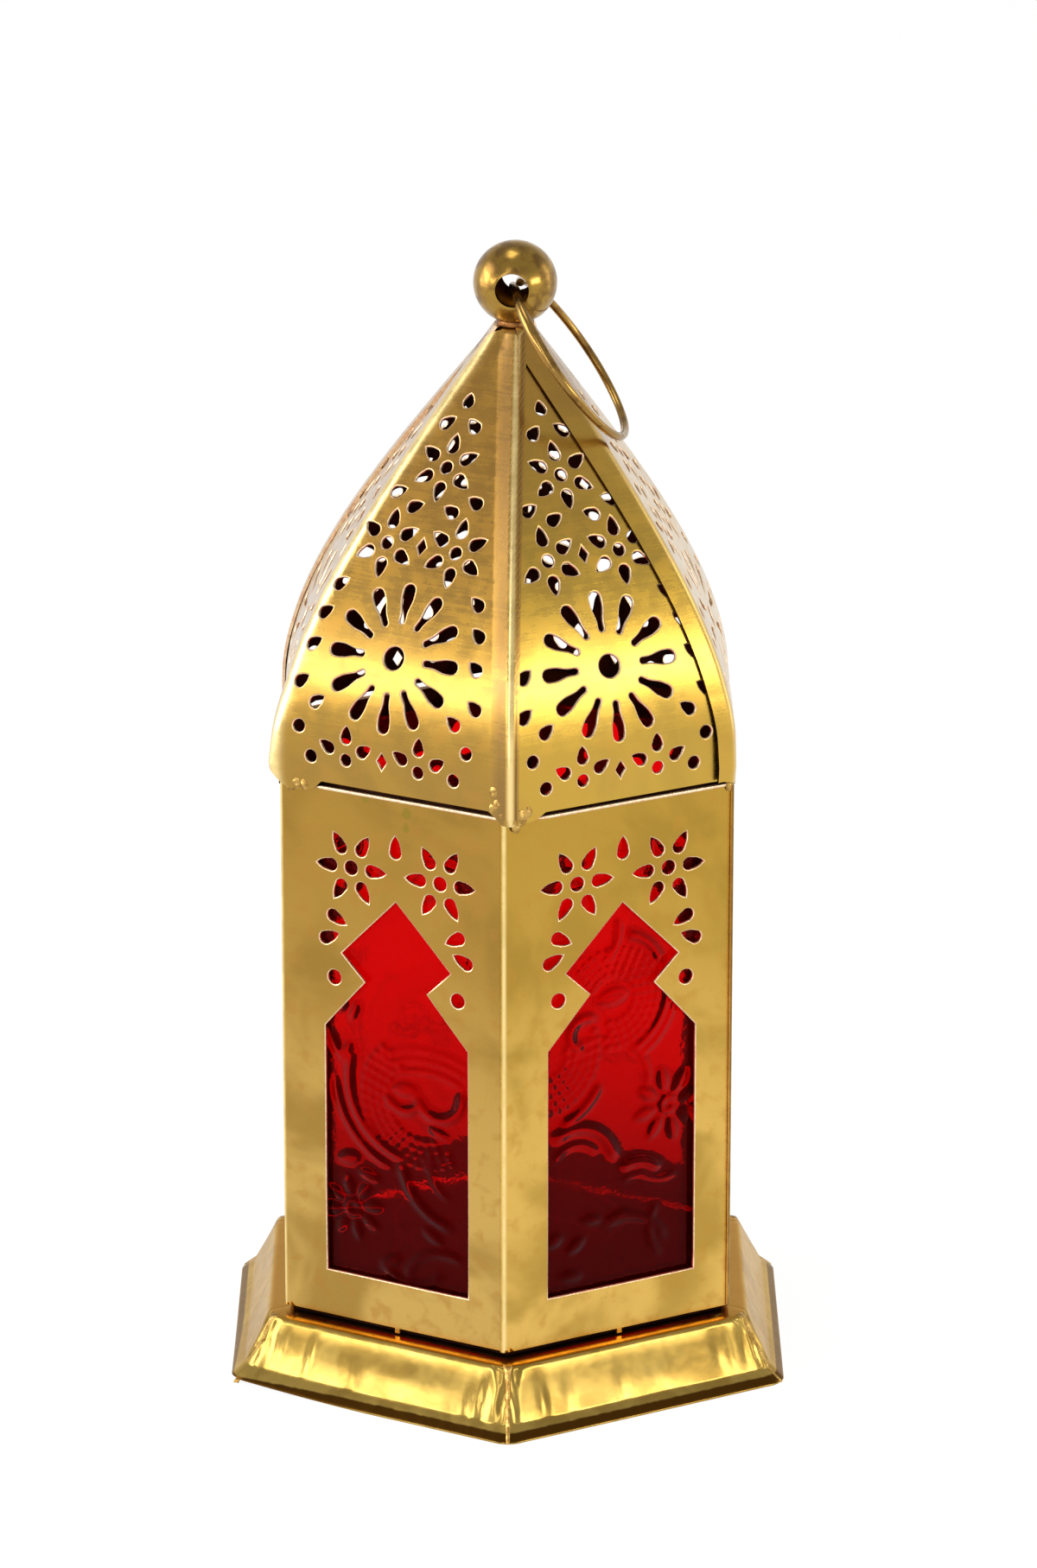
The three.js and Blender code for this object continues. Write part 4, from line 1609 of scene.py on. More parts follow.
    def columns(self, side: Side) -> tuple[float, float, list[float]]:
        """Places a panel's side edges and the columns of its bend.

        Args:
            side: the panel's side.

        Returns:
            The left edge, the right edge and the bend's columns.
        """
        face = self.sizes.body_face
        half = face * TAN_HALF
        step = self.sheet + self.lap_gap
        if self.fold(side) is Fold.PLAIN:
            return -half + self.door_edge, half - self.door_edge, []
        sign = 1 if self.fold(side) is Fold.OVER else -1
        start = half + sign * step / SIN_STEP - self.bend * TAN_HALF
        arc = 2 * HALF_STEP * self.bend
        flange = dict(self.laps).get(side, self.lap_width) if sign > 0 else self.behind_width
        columns = [-start - arc * share for share in np.linspace(0, 1, 5)]
        return -start - arc - flange, half - step / SIN_STEP, columns

    def window(self) -> Array:
        """Outlines the window with its pointed head.

        Returns:
            The flat outline.
        """
        top, bottom = self.sizes.body_top, self.sizes.body_bottom
        half = [
            (self.jamb[0], bottom + self.sill_rise),
            (self.jamb[0], top - self.jamb[1]),
            (self.notch[0], top - self.notch[1]),
            (self.shoulder[0], top - self.shoulder[1]),
        ]
        corners = [*half, (0.0, top - self.apex_drop), *[(-x, z) for x, z in reversed(half)]]
        return anticlockwise(divided(np.array(corners), self.lattice_step))

    def holes(self, side: Side) -> list[Array]:
        """Outlines the window and every hole round it.

        Args:
            side: the panel's side.

        Returns:
            The holes' outlines.
        """
        top = self.sizes.body_top
        drop = Punch.drop(self.blossom.radius, self.blossom.point)
        holes = [self.window()]
        for aside in (-self.blossom_aside, self.blossom_aside):
            holes.extend(self.blossom.holes(aside, top - self.blossom_drop))
        for shape, x, below, degrees in (
            (drop, 12.7, 22.4, -27),
            (drop, 14.3, 26.8, 24),
            (Punch.dot(1.35), 12.5, 33.8, 0),
            (drop, 0, 8.9, 90),
        ):
            holes.extend(mirrored(shape, x, top - below, degrees))
        return [self.stamping.place(hole) for hole in holes] if side is Side.FRONT_RIGHT else holes

    def outline(self, side: Side) -> Array:
        """Outlines a panel's blank.

        Args:
            side: the panel's side.

        Returns:
            The blank's flat outline.
        """
        left, right, _ = self.columns(side)
        bottom, top = self.bottom(side), self.top(side)
        corners = [(left, bottom), (right, bottom), (right, top), (left, top)]
        if not side.is_door:
            half, foot = self.tab_half, bottom - self.tab_drop
            corners[1:1] = [(-half, bottom), (-half, foot), (half, foot), (half, bottom)]
        return divided(np.array(corners), 1.2)

    def add_glass_tabs(self, builder: MeshBuilder) -> None:
        """Adds the four tabs that are bent in behind the pane.

        Args:
            builder: takes the mesh.
        """
        half, back = self.sizes.pane_half, self.sizes.pane_back
        gap, foot, height, from_end = 0.3, 2.2, 5.0, 8.0
        root = -(self.sizes.body_face - self.sheet + 0.05)
        near, far = -(back - gap), -(back - gap - self.sheet)
        stem = half + gap + self.sheet
        toe, heel = half - foot, half + gap
        tab = np.array([(heel, root), (stem, root), (stem, far), (toe, far), (toe, near), (heel, near)])
        for outline in (tab, tab * np.array([-1, 1])):
            for low in (self.sizes.pane_bottom + from_end, self.sizes.pane_top - from_end - height):
                add_prism(builder, anticlockwise(outline), low, low + height, SheetPart.INSIDE.value)

    def add_hem(self, builder: MeshBuilder, side: Side) -> None:
        """Adds the roll along the top edge, and the strip that darkens the slit over it.

        Args:
            builder: takes the mesh.
            side: the panel's side.
        """
        rise, left, right = self.hem(side)
        count, facets = self.roll_steps
        turns = 2 * math.pi * np.arange(facets) / facets
        across = np.linspace(left, right, count)
        middles = self.surface(side)(np.column_stack([across, np.full(count, self.top(side))])) + [0, 0.1, 0]
        taper = np.clip(np.minimum(across - left, right - across) / self.roll_taper, 0.35, 1)
        section = np.column_stack([np.zeros(facets), -np.cos(turns), np.sin(turns)])
        rings = middles[:, None] + self.roll * taper[:, None, None] * section
        # Painted highlight: the roll takes the pale cut-edge finish so that it shows as a bright line under
        # the eave.
        builder.add_tube(rings, SheetPart.CUT.value)
        if side.is_door:
            return
        ends = (self.sizes.body_face - 3) * TAN_HALF
        near, far = -(self.sizes.body_face - 1.2), -(self.sizes.body_face - 1.5)
        strip = np.array([(-ends, near), (ends, near), (ends, far), (-ends, far)])
        top = self.sizes.body_top
        # This strip takes the near-black inside finish as painted shade in the slit.
        add_prism(builder, strip, top - 1.5, top + 2.0 + rise, SheetPart.INSIDE.value)

    def build(self) -> None:
        """Makes the six panels."""
        for side in Side:
            builder = MeshBuilder()
            _, right, bends = self.columns(side)
            bottom, top = self.bottom(side), self.top(side)
            rows = np.arange(bottom, top, self.lattice_step)
            across = np.arange(self.lattice_left, right, self.lattice_step)
            folds = [*bends, bends[-1] - 0.25, bends[0] + 0.3, bends[0] + 0.7] if bends else []
            lattice = [(u, v) for v in rows for u in across]
            lattice += [(u, v) for v in np.arange(bottom, top, self.fold_step) for u in folds]
            sheet = Sheet(self.surface(side), self.painted_light(side), self.sheet)
            sheet.add(builder, self.outline(side), self.holes(side), np.array(lattice))
            self.add_glass_tabs(builder)
            self.add_hem(builder, side)
            # The right-hand sides take the lit copy of the brass, the others the copy painted darker as
            # shade.
            outside = "panel_right_front" if side.is_lit_side else "panel_left_front"
            finishes = (outside, "inside", "cut_edge")
            node = "door_panel" if side.is_door else f"panel_{side.label}"
            self.hang(builder, f"{node}_pierced", finishes, (body_of(side), "brass_sheet", node), side.turn)


def add_prism(builder: MeshBuilder, outline: Array, bottom: float, top: float, finish: int) -> None:
    """Adds a straight-sided block that stands on a plan outline.

    Args:
        builder: takes the mesh.
        outline: anticlockwise rows of x and y.
        bottom: height of its underside.
        top: height of its upper side.
        finish: number of the finish.
    """
    count = len(outline)
    low = builder.add_points(np.column_stack([outline, np.full(count, bottom)]))
    high = builder.add_points(np.column_stack([outline, np.full(count, top)]))
    builder.add_wall(high, low, finish)
    builder.add_faces(low[::-1][None], finish)
    builder.add_faces(high[None], finish)


@dataclass(frozen=True)
class Ribs:
    """The folds on both sides of a petal that laps its neighbours.

    Attributes:
        bends: outer radius of the left and the right bend.
        laps: for the left and the right, width of the flange at the eave and at the neck.
        ears: how far the flanges' lower corners are rounded up.
        worn: strength of the painted highlight along the bends, from 0 to 1.
        ridge: how far the right bend stands proud; where it does, painted shade also lines the strip before
            it and the groove past it.
    """

    bends: tuple[float, float]
    laps: tuple[tuple[float, float], tuple[float, float]]
    ears: tuple[float, float] = (1.4, 1.4)
    worn: float = 0.5
    ridge: float = 0.0


@dataclass
class DomePetals(Subassembly):
    """The six pierced petals of the dome. Every second one folds over both its neighbours.

    Attributes:
        sheet: thickness of the brass.
        lap_gap: gap between two lapped sheets.
        band_height: height of the upright band at the eave.
        neck_radius: corner radius of the hexagon at the neck.
        curve_power: shapes the dome's curve. The smaller it is, the sooner the dome draws in.
        lean_power: shapes the lean. The larger it is, the higher up the dome leans aside.
        corner_flares: how far each corner flares out at the eave.
        flare_height: height over which a flare dies out.
        calm_width: width beside a corner where the sheet's waves die out and the flares begin.
        skirt: how far the blank goes down past the eave.
        ridge_width: width of the strip that rises towards a proud fold, which is darkened with painted shade.
        slits: for some sides, how far the lower edge is raised, and its left and right end.
        plain_slit: the same for the others.
        row_step: distance between the rows of points.
        column_step: distance between the points of a row.
        tuck: how far a lapped petal stops short of the corner.
        blossom: the blossom that stands three times over the sunburst.
        sunburst: distance of the sunburst's centre along the sheet.
        hole_margin: least metal between a hole and the blank's edge.
        ribs: the folds of the petals that lap their neighbours.
        stampings: how the pattern lies on some of the blanks.
    """

    sheet: float = 0.5
    lap_gap: float = 0.12
    band_height: float = 8.3
    neck_radius: float = 3.3
    curve_power: float = 0.84
    lean_power: float = 2.0
    corner_flares: tuple[float, ...] = (0.2, 0.45, 0.3, 0.3, 0.3, 1.1)
    flare_height: float = 14.0
    calm_width: float = 7.0
    skirt: float = 0.6
    ridge_width: float = 3.1
    slits: tuple[tuple[Side, tuple[float, float, float]], ...] = (
        (Side.FRONT_LEFT, (1.5, -16.4, 21.0)),
        (Side.FRONT_RIGHT, (0.75, -17.0, 22.0)),
        (Side.REAR_LEFT, (0.1, -19.0, 19.0)),
    )
    plain_slit: tuple[float, float, float] = (0.75, -19.0, 19.0)
    row_step: float = 1.35
    column_step: float = 1.5
    tuck: float = 0.75
    blossom: Blossom = Blossom(reach=3.8, radius=1.12, point=2.4, dot=1.15, first=90.0)
    sunburst: float = 23.9
    hole_margin: float = 0.25
    ribs: tuple[tuple[Side, Ribs], ...] = (
        (Side.FRONT_LEFT, Ribs((3.3, 1.5), ((1.7, 2.4), (0.8, 1.0)), (3.0, 0.0), 0.95, 0.3)),
        (Side.RIGHT, Ribs((2.2, 2.2), ((2.4, 4.2), (2.4, 4.2)), worn=0.35)),
        (Side.REAR_LEFT, Ribs((2.6, 2.6), ((1.8, 2.4), (1.8, 2.4)))),
    )
    stampings: tuple[tuple[Side, Stamping], ...] = (
        (Side.FRONT_LEFT, Stamping(-2.35, 0.0, 1.2, 0.962)),
        (Side.FRONT_RIGHT, Stamping(-0.2, -0.014, 0.3)),
        (Side.REAR_LEFT, Stamping(0.5, 0.0, -0.3)),
    )

    def __post_init__(self) -> None:
        """Tabulates the dome's curve by distance along the sheet."""
        height = np.linspace(self.sizes.eave, self.sizes.neck, 600)
        start = self.sizes.eave + self.band_height
        share = np.clip((height - start) / (self.sizes.neck - start), 0, 1)
        neck_face = self.neck_radius * COS_HALF
        reach = self.sizes.eave_face - neck_face
        self.heights = height
        self.faces = neck_face + reach * np.cos(math.pi / 2 * share**self.curve_power)
        steps = np.hypot(np.diff(height), np.diff(self.faces))
        self.lengths = np.concatenate([[0], np.cumsum(steps)])

    @property
    def length(self) -> float:
        """Length of a petal from the eave to the neck, along the sheet."""
        return float(self.lengths[-1])

    def curve(self, along: Array) -> tuple[Array, Array]:
        """Gives height and face distance at distances along the sheet.

        Args:
            along: distances from the eave.

        Returns:
            Heights and distances from the axis.
        """
        height = np.interp(along, self.lengths, self.heights)
        face = np.interp(along, self.lengths, self.faces)
        below, above = np.minimum(along, 0), np.maximum(along - self.length, 0)
        top_slope = (self.faces[-1] - self.faces[-2]) / (self.heights[-1] - self.heights[-2])
        return height + below + above, face + above * top_slope

    def ribs_of(self, side: Side) -> Ribs | None:
        """Gives the folds of a petal that laps its neighbours."""
        return dict(self.ribs).get(side)

    def bends(self, side: Side, along: Array) -> list[tuple[Array, Array, Array]]:
        """Sizes the folds of a petal.

        Args:
            side: the petal's side.
            along: distances from the eave.

        Returns:
            For the left and the right fold: distance across to its start, radius and flange width.
        """
        _, face = self.curve(along)
        ribs = self.ribs_of(side)
        corner = face * TAN_HALF + (self.sheet + self.lap_gap) / SIN_STEP
        share = np.clip(along / self.length, 0, 1)
        made = []
        for bend, (at_eave, at_neck) in zip(ribs.bends, ribs.laps):
            radius = np.minimum(bend, 0.75 * corner)
            lap = at_eave + (at_neck - at_eave) * share
            width = np.minimum(lap, 0.9 * corner)
            made.append((corner - radius * TAN_HALF, radius, width))
        return made

    def edges(self, side: Side, along: Array) -> tuple[Array, Array]:
        """Gives the flat blank's left and right edge.

        Args:
            side: the petal's side.
            along: distances from the eave.

        Returns:
            Distances across.
        """
        if self.ribs_of(side):
            folds = self.bends(side, along)
            left, right = (start + 2 * HALF_STEP * radius + width for start, radius, width in folds)
            return -left, right
        _, face = self.curve(along)
        half = np.maximum(face * TAN_HALF - (self.sheet + self.lap_gap) / SIN_STEP - self.tuck, 0.5)
        return -half, half

    def surface(self, side: Side) -> Surface:
        """Describes a petal's outside.

        Args:
            side: the petal's side.

        Returns:
            The surface, over distance across and distance along the sheet.
        """
        waves = Waviness(seed=31 + side.value, height=0.10, length=30)
        ribs = self.ribs_of(side)
        step = self.sheet + self.lap_gap
        rises = self.sizes.neck - self.sizes.eave

        def place(uv: Array) -> Array:
            """Lays flat coordinates on the petal.

            Args:
                uv: rows of flat coordinates.

            Returns:
                Rows of x, y and z in the face frame.
            """
            u, along = uv.T
            height, face = self.curve(along)
            if ribs:
                (_, left, _), (_, right, _) = self.bends(side, along)
                plan = folded_section(u, face, (face + step, face + step), (left, right))
            else:
                plan = np.column_stack([u, -face])
            half = np.maximum(face * TAN_HALF, 1)
            calm = np.clip((half - np.abs(u)) / np.minimum(self.calm_width, half), 0, 1)
            plan[:, 1] -= waves(uv) * calm * calm
            rising = np.clip((self.flare_height + 3 - along) / self.flare_height, 0, 1)
            left_flare, right_flare = (self.corner_flares[(side.value + i) % SIDES] for i in (0, 1))
            flares = np.where(u < 0, left_flare, right_flare)
            flare = flares * np.minimum(rising, 0.55 + 0.15 * np.maximum(along, 0))
            near = np.clip(1 - (half - np.abs(u)) / self.calm_width, 0, 1.2) ** 2
            if ribs and ribs.ridge:
                fold = self.bends(side, along)[1][0]
                plan[:, 1] -= ribs.ridge * np.clip(1 - (fold - u) / self.ridge_width, 0, 1)
            plan *= (1 + flare * near / self.sizes.eave_face)[:, None]
            lean = self.sizes.lean * np.clip((height - self.sizes.eave) / rises, 0, 1) ** self.lean_power
            plan[:, 0] += lean * math.cos(side.turn)
            plan[:, 1] -= lean * math.sin(side.turn)
            return np.column_stack([plan, height])

        return place

    def painted_light(self, side: Side) -> Callable[[Array], Array]:
        """Describes the painted highlight along a petal's folds, and the painted shade beside its proud fold.

        Args:
            side: the petal's side.

        Returns:
            The painted highlight and shade, over distance across and distance along the sheet.
        """
        ribs = self.ribs_of(side)

        def painted_highlight_and_shade(uv: Array) -> Array:
            """Gives the painted highlight and shade at flat coordinates.

            Args:
                uv: rows of flat coordinates.

            Returns:
                A value for each row, above nought for painted highlight and below for painted shade.
            """
            made = np.zeros(len(uv))
            if not ribs:
                return made
            for sign, (start, radius, _) in zip((-1, 1), self.bends(side, uv[:, 1])):
                past = sign * uv[:, 0] - start - HALF_STEP * radius
                # Painted highlight along the middle of each bend.
                made += ribs.worn * np.exp(-((past / (0.45 * radius)) ** 2))
                if ribs.ridge and sign > 0:
                    before = past + HALF_STEP * radius
                    # Painted shade on the strip that rises to the proud fold, and a dark painted line in the
                    # groove past it.
                    made -= 0.62 * np.clip(1 + before / self.ridge_width, 0, 1) ** 0.3 * (before < -0.2)
                    made -= 1.3 * np.exp(-(((past - 1.0) / 0.2) ** 2))
            return np.clip(made, -1, 1)

        return painted_highlight_and_shade

    def holes(self, side: Side) -> list[Array]:
        """Outlines the sunburst, the blossoms and the small holes round them.

        Args:
            side: the petal's side.

        Returns:
            The holes' outlines.
        """
        holes = [placed(Punch.dot(2.05, 22), 0, self.sunburst)]
        ray = Punch.slot(inner=6.6, inner_radius=0.55, outer=12.0, outer_radius=1.17)
        holes.extend(placed(ray, 0, self.sunburst, 30 * i) for i in range(12))
        for x, along in ((0, 58.4), (7.1, 43.6), (-7.1, 43.6)):
            holes.extend(self.blossom.holes(x, along))
        leaf, dot = Punch.drop(1.1, 2.1), Punch.dot(1.15)
        for shape, x, along, degrees in (
            (Punch.drop(1.05, 1.6), 0, 70.6, 90),
            (leaf, 3.1, 66.2, 40),
            (leaf, 8.4, 52.75, 24),
            (leaf, 4.15, 50.55, 24),
            (leaf, 14.5, 35.1, 35),
            (leaf, 16.2, 29.8, 35),
            (leaf, 17.1, 24.1, 35),
            (leaf, 18.3, 17.4, 35),
            (leaf, 14.5, 14.25, 35),
            (dot, 17.3, 9.75, 0),
            (dot, 14.8, 4.6, 0),
            (Punch.diamond(0.95, 1.5), 0, 43.8, 0),
            (Punch.diamond(1.0, 1.5), 0, 5.75, 0),
            (leaf, 7.5, 8.9, 90),
            (leaf, 11.0, 6.7, 150),
            (leaf, 4.2, 6.8, 30),
            (Punch.dot(1.1), 7.5, 4.9, 0),
        ):
            holes.extend(mirrored(shape, x, along, degrees))
        stamping = dict(self.stampings).get(side, Stamping())
        left, right = self.edges(side, np.array([hole[:, 1].mean() for hole in holes]))
        clear = self.hole_margin
        return [
            hole
            for hole, low, high in zip(map(stamping.place, holes), left, right)
            if hole[:, 0].min() > low + clear and hole[:, 0].max() < high - clear
        ]

    @property
    def rows(self) -> Array:
        """Distances of the lattice's rows along the sheet, from the skirt to the neck."""
        return np.linspace(-self.skirt, self.length, round(self.length / self.row_step) + 1)

    def outline(self, side: Side) -> Array:
        """Outlines a petal's blank, with the slit over the body and the flanges' rounded corners.

        Args:
            side: the petal's side.

        Returns:
            The blank's flat outline.
        """
        rows = self.rows
        foot = rows[:1]
        low, high = (float(edge[0]) for edge in self.edges(side, foot))
        steps = np.linspace(low, high, round((high - low) / self.column_step) + 1)
        rise, slit_left, slit_right = dict(self.slits).get(side, self.plain_slit)
        ear = (rise + self.skirt) * np.clip(np.minimum(steps - slit_left, slit_right - steps) / 1.2, 0, 1)
        ribs = self.ribs_of(side)
        if ribs:
            for sign, lift, (start, _, _) in zip((-1, 1), ribs.ears, self.bends(side, foot)):
                reach = 0.55 * (sign * (low, high)[sign > 0] - start[0]) + 1
                past = np.clip((sign * steps - start[0] + 1) / reach, 0, 1)
                ear = np.maximum(ear, lift * past**1.6)
        eave = np.column_stack([steps, foot[0] + ear])
        sides = []
        for end in (-1, 0):
            upper = rows[rows > foot[0] + ear[end] + 0.4 * self.row_step]
            sides.append(np.column_stack([self.edges(side, upper)[end], upper]))
        return np.concatenate([eave, sides[0], sides[1][::-1]])

    def lattice(self, side: Side) -> Array:
        """Spreads points between a petal's edges, closer together over its folds.

        Args:
            side: the petal's side.

        Returns:
            Rows of flat coordinates.
        """
        ribs = self.ribs_of(side)
        points = []
        for along in self.rows[1:-1]:
            at = np.array([along])
            folds = np.squeeze(self.bends(side, at), axis=2).tolist() if ribs else []
            low, high = (-folds[0][0], folds[1][0]) if folds else (float(e[0]) for e in self.edges(side, at))
            first = math.ceil((low + 0.4) / self.column_step)
            last = math.floor((high - 0.4) / self.column_step)
            across = [i * self.column_step for i in range(first, last + 1)]
            for sign, (start, radius, width) in zip((-1, 1), folds):
                arc = 2 * HALF_STEP * radius
                across += [sign * (start + arc * share) for share in np.linspace(0, 1, 9)]
                across += [sign * (start + arc + width * share) for share in (0.3, 0.6)]
                if ribs.ridge and sign > 0:
                    across += [start - self.ridge_width * share for share in (0.08, 0.5, 0.95, 1.05)]
            points.extend((u, along) for u in across)
        return np.array(points)

    def build(self) -> None:
        """Makes the six petals."""
        for side in Side:
            builder = MeshBuilder()
            # Most petals' outer edges take the near-black inside finish as a painted dark line along the
            # folds.
            edge = SheetPart.CUT if side is Side.REAR_LEFT else SheetPart.INSIDE
            sheet = Sheet(self.surface(side), self.painted_light(side), self.sheet, edge=edge)
            sheet.add(builder, self.outline(side), self.holes(side), self.lattice(side))
            # The right-hand sides take the lit copy of the brass, the others the copy painted darker as
            # shade.
            outside = "petal_right" if side.is_lit_side else "petal_left"
            finishes = (outside, "inside", "cut_edge")
            node = f"dome_petal_{side.label}"
            self.hang(builder, f"{node}_pierced", finishes, ("lantern", "brass_sheet", node), side.turn)


@dataclass
class EaveSolder(Subassembly):
    """Lumps of solder where the eave meets the body's corners.

    Attributes:
        flatness: how far a lump stands out, as a share of its radius.
        tallness: its height over its width.
        around: points in each ring of a lump.
        rings: rings in each lump.
        lumps: side, distance across, height and radius of each.
    """

    flatness: float = 0.32
    tallness: float = 1.3
    around: int = 12
    rings: int = 6
    lumps: tuple[tuple[Side, float, float, float], ...] = (
        (Side.FRONT_LEFT, 20.0, 115.4, 0.9),
        (Side.FRONT_LEFT, 20.9, 113.4, 1.0),
        (Side.FRONT_LEFT, 21.9, 111.6, 1.0),
        (Side.FRONT_LEFT, 19.7, 112.5, 0.7),
        (Side.FRONT_LEFT, -19.6, 110.9, 1.0),
        (Side.FRONT_LEFT, -18.0, 110.8, 0.8),
        (Side.FRONT_LEFT, -20.9, 110.2, 0.8),
        (Side.FRONT_RIGHT, -21.8, 111.0, 1.0),
        (Side.FRONT_RIGHT, -20.0, 110.9, 1.2),
        (Side.FRONT_RIGHT, -18.6, 111.7, 0.8),
        (Side.FRONT_RIGHT, -21.0, 109.4, 0.9),
        (Side.FRONT_RIGHT, 21.8, 109.9, 0.8),
    )

    def build(self) -> None:
        """Makes the lumps."""
        builder = MeshBuilder()
        rough = Waviness(seed=77, height=0.07, length=1.3)
        spin = np.linspace(0, 2 * math.pi, self.around, endpoint=False)
        for side, across, height, radius in self.lumps:
            rows = []
            for tilt in np.linspace(math.radians(8), math.radians(95), self.rings):
                out = self.sizes.eave_face + self.flatness * radius * math.cos(tilt)
                ring = np.column_stack([
                    across + radius * math.sin(tilt) * np.cos(spin),
                    np.full(self.around, -out),
                    height + self.tallness * radius * math.sin(tilt) * np.sin(spin),
                ])
                ring[:, 1] -= rough(ring[:, [0, 2]] + side.value * 7) * math.cos(tilt)
                rows.append(turned(ring, side.turn))
            builder.add_tube(np.array(rows))
        self.hang(builder, "eave_solder", ["solder"], ("lantern", "aged_brass", ""), sharp=80)


# Relief of the pressed glass


@dataclass(frozen=True)
class Ridge:
    """A raised line along an arc that may spiral inwards.

    Attributes:
        centre: of the arc, across and up.
        radius: at the arc's start.
        span: degrees where it starts and ends.
        width: distance from the line where the relief has sunk to about a third.
        height: relief of the line.
        closing: how far it has moved inwards at its end.
    """

    centre: tuple[float, float]
    radius: float
    span: tuple[float, float]
    width: float = 0.8
    height: float = 1.0
    closing: float = 0.0

    def relief(self, x: Array, z: Array) -> Array:
        """Gives the ridge's height over the pane.

        Args:
            x: distances across.
            z: heights.

        Returns:
            Relief from 0 to 1.
        """
        dx, dz = x - self.centre[0], z - self.centre[1]
        start, end = self.span
        angle = (np.degrees(np.arctan2(dz, dx)) - start) % 360 + start
        share = (angle - start) / (end - start)
        gap = np.hypot(dx, dz) - self.radius + self.closing * share
        ends = np.clip(np.minimum(share, 1 - share) * 8, 0, 1)
        return self.height * np.exp(-((gap / self.width) ** 2)) * np.where((share > 0) & (share < 1), ends, 0)


@dataclass(frozen=True)
class Beading:
    """Rows of small beads that follow arcs round one centre.

    Attributes:
        centre: of the arcs, across and up.
        radii: of the first and the last row.
        span: degrees where the rows start and end.
        pitch: distance between the rows.
        height: relief of a bead.
    """

    centre: tuple[float, float]
    radii: tuple[float, float]
    span: tuple[float, float]
    pitch: float = 1.5
    height: float = 0.75

    def relief(self, x: Array, z: Array) -> Array:
        """Gives the beads' height over the pane.

        Args:
            x: distances across.
            z: heights.

        Returns:
            Relief from 0 to 1.
        """
        made = np.zeros_like(x)
        rows = np.arange(self.radii[0], self.radii[1] + 0.01, self.pitch)
        for number, radius in enumerate(rows):
            turn = math.degrees(self.pitch * 1.15 / radius)
            for degrees in np.arange(self.span[0] + turn * 0.5 * (number % 2), self.span[1], turn):
                angle = math.radians(degrees)
                at = self.centre[0] + radius * math.cos(angle), self.centre[1] + radius * math.sin(angle)
                gap = ((x - at[0]) ** 2 + (z - at[1]) ** 2) / (0.5 * self.pitch) ** 2
                made = np.maximum(made, self.height * np.clip(1 - gap, 0, 1))
        return made


@dataclass(frozen=True)
class Leaf:
    """A raised almond with a sunken vein.

    Attributes:
        centre: its middle, across and up.
        length: from end to end.
        width: across the middle.
        degrees: direction of its length.
        height: its relief.
    """

    centre: tuple[float, float]
    length: float
    width: float
    degrees: float
    height: float = 1.0

    def relief(self, x: Array, z: Array) -> Array:
        """Gives the leaf's height over the pane.

        Args:
            x: distances across.
            z: heights.

        Returns:
            Relief from 0 to 1.
        """
        angle = math.radians(self.degrees)
        dx, dz = x - self.centre[0], z - self.centre[1]
        along = (dx * math.cos(angle) + dz * math.sin(angle)) / (self.length / 2)
        across = (dz * math.cos(angle) - dx * math.sin(angle)) / (self.width / 2)
        room = np.clip(1 - along**2, 0, 1)
        full = np.clip(1 - (across / np.maximum(room, 0.05)) ** 2, 0, 1) * room
        vein = 0.45 * np.exp(-((across / 0.25) ** 2)) * room
        return self.height * np.sqrt(full) - self.height * vein * (full > 0)


def star_flower(x: float, z: float, reach: float, petals: int = 8) -> list[Leaf | Ridge]:
    """Lays out a flower of pointed petals round a ringed centre.

    Args:
        x: its centre, across.
        z: its centre, up.
        reach: from the centre to the petals' points.
        petals: how many.

    Returns:
        Its raised parts.
    """
    parts: list[Leaf | Ridge] = [Ridge((x, z), 1.3, (0, 359.9), 0.5)]
    for i in range(petals):
        degrees = 360 * i / petals + 12
        angle = math.radians(degrees)
        middle = 0.64 * reach
        at = (x + middle * math.cos(angle), z + middle * math.sin(angle))
        parts.append(Leaf(at, 0.72 * reach, 0.30 * reach, degrees))
    return parts


LEFT_PATTERN = [
    Ridge((3.9, 56.7), 14.8, (150, 262), 0.8, 1.0, 2.4),
    Ridge((3.9, 56.7), 17.0, (176, 250), 0.6, 0.9, 1.6),
    Beading((4.6, 55.6), (7.4, 11.9), (128, 300)),
    Ridge((1.2, 57.2), 4.2, (190, 330), 0.8, 1.0, 0.8),
    Ridge((7.8, 57.6), 4.4, (185, 380), 0.9, 1.0, -0.4),
    Leaf((1.0, 57.4), 6.5, 2.6, 4, 0.9),
    Ridge((5.5, 45.0), 16.4, (62, 118), 0.5, 0.6),
    Ridge((5.5, 45.0), 18.4, (60, 122), 0.5, 0.5),
    Ridge((5.5, 45.0), 20.2, (60, 124), 0.5, 0.4),
    Leaf((7.6, 50.6), 5.0, 1.9, -20),
    Ridge((12.5, 44.4), 12.2, (180, 262), 0.8, 1.0, 0.8),
    Ridge((12.5, 44.4), 6.5, (150, 250), 0.5, 0.6),
    Leaf((-11.0, 62.3), 5.6, 1.6, 60),
    Leaf((-13.2, 63.4), 6.2, 1.6, 118),
    Leaf((-10.3, 42.6), 5.4, 2.6, 12),
    Leaf((-6.3, 40.0), 5.2, 2.2, -18),
    Leaf((-9.2, 70.0), 4.4, 1.3, 68),
    Leaf((-11.6, 70.6), 3.6, 1.2, 40),
    *star_flower(-9.6, 33.4, 6.4),
    Ridge((3.0, 28.0), 7.5, (200, 330), 0.7, 0.8, 1.0),
    Leaf((6.6, 31.0), 5.5, 2.0, -30),
    Ridge((9.0, 20.0), 8.0, (60, 170), 0.7, 0.8),
    Leaf((-2.0, 24.5), 6.0, 2.2, 35),
]

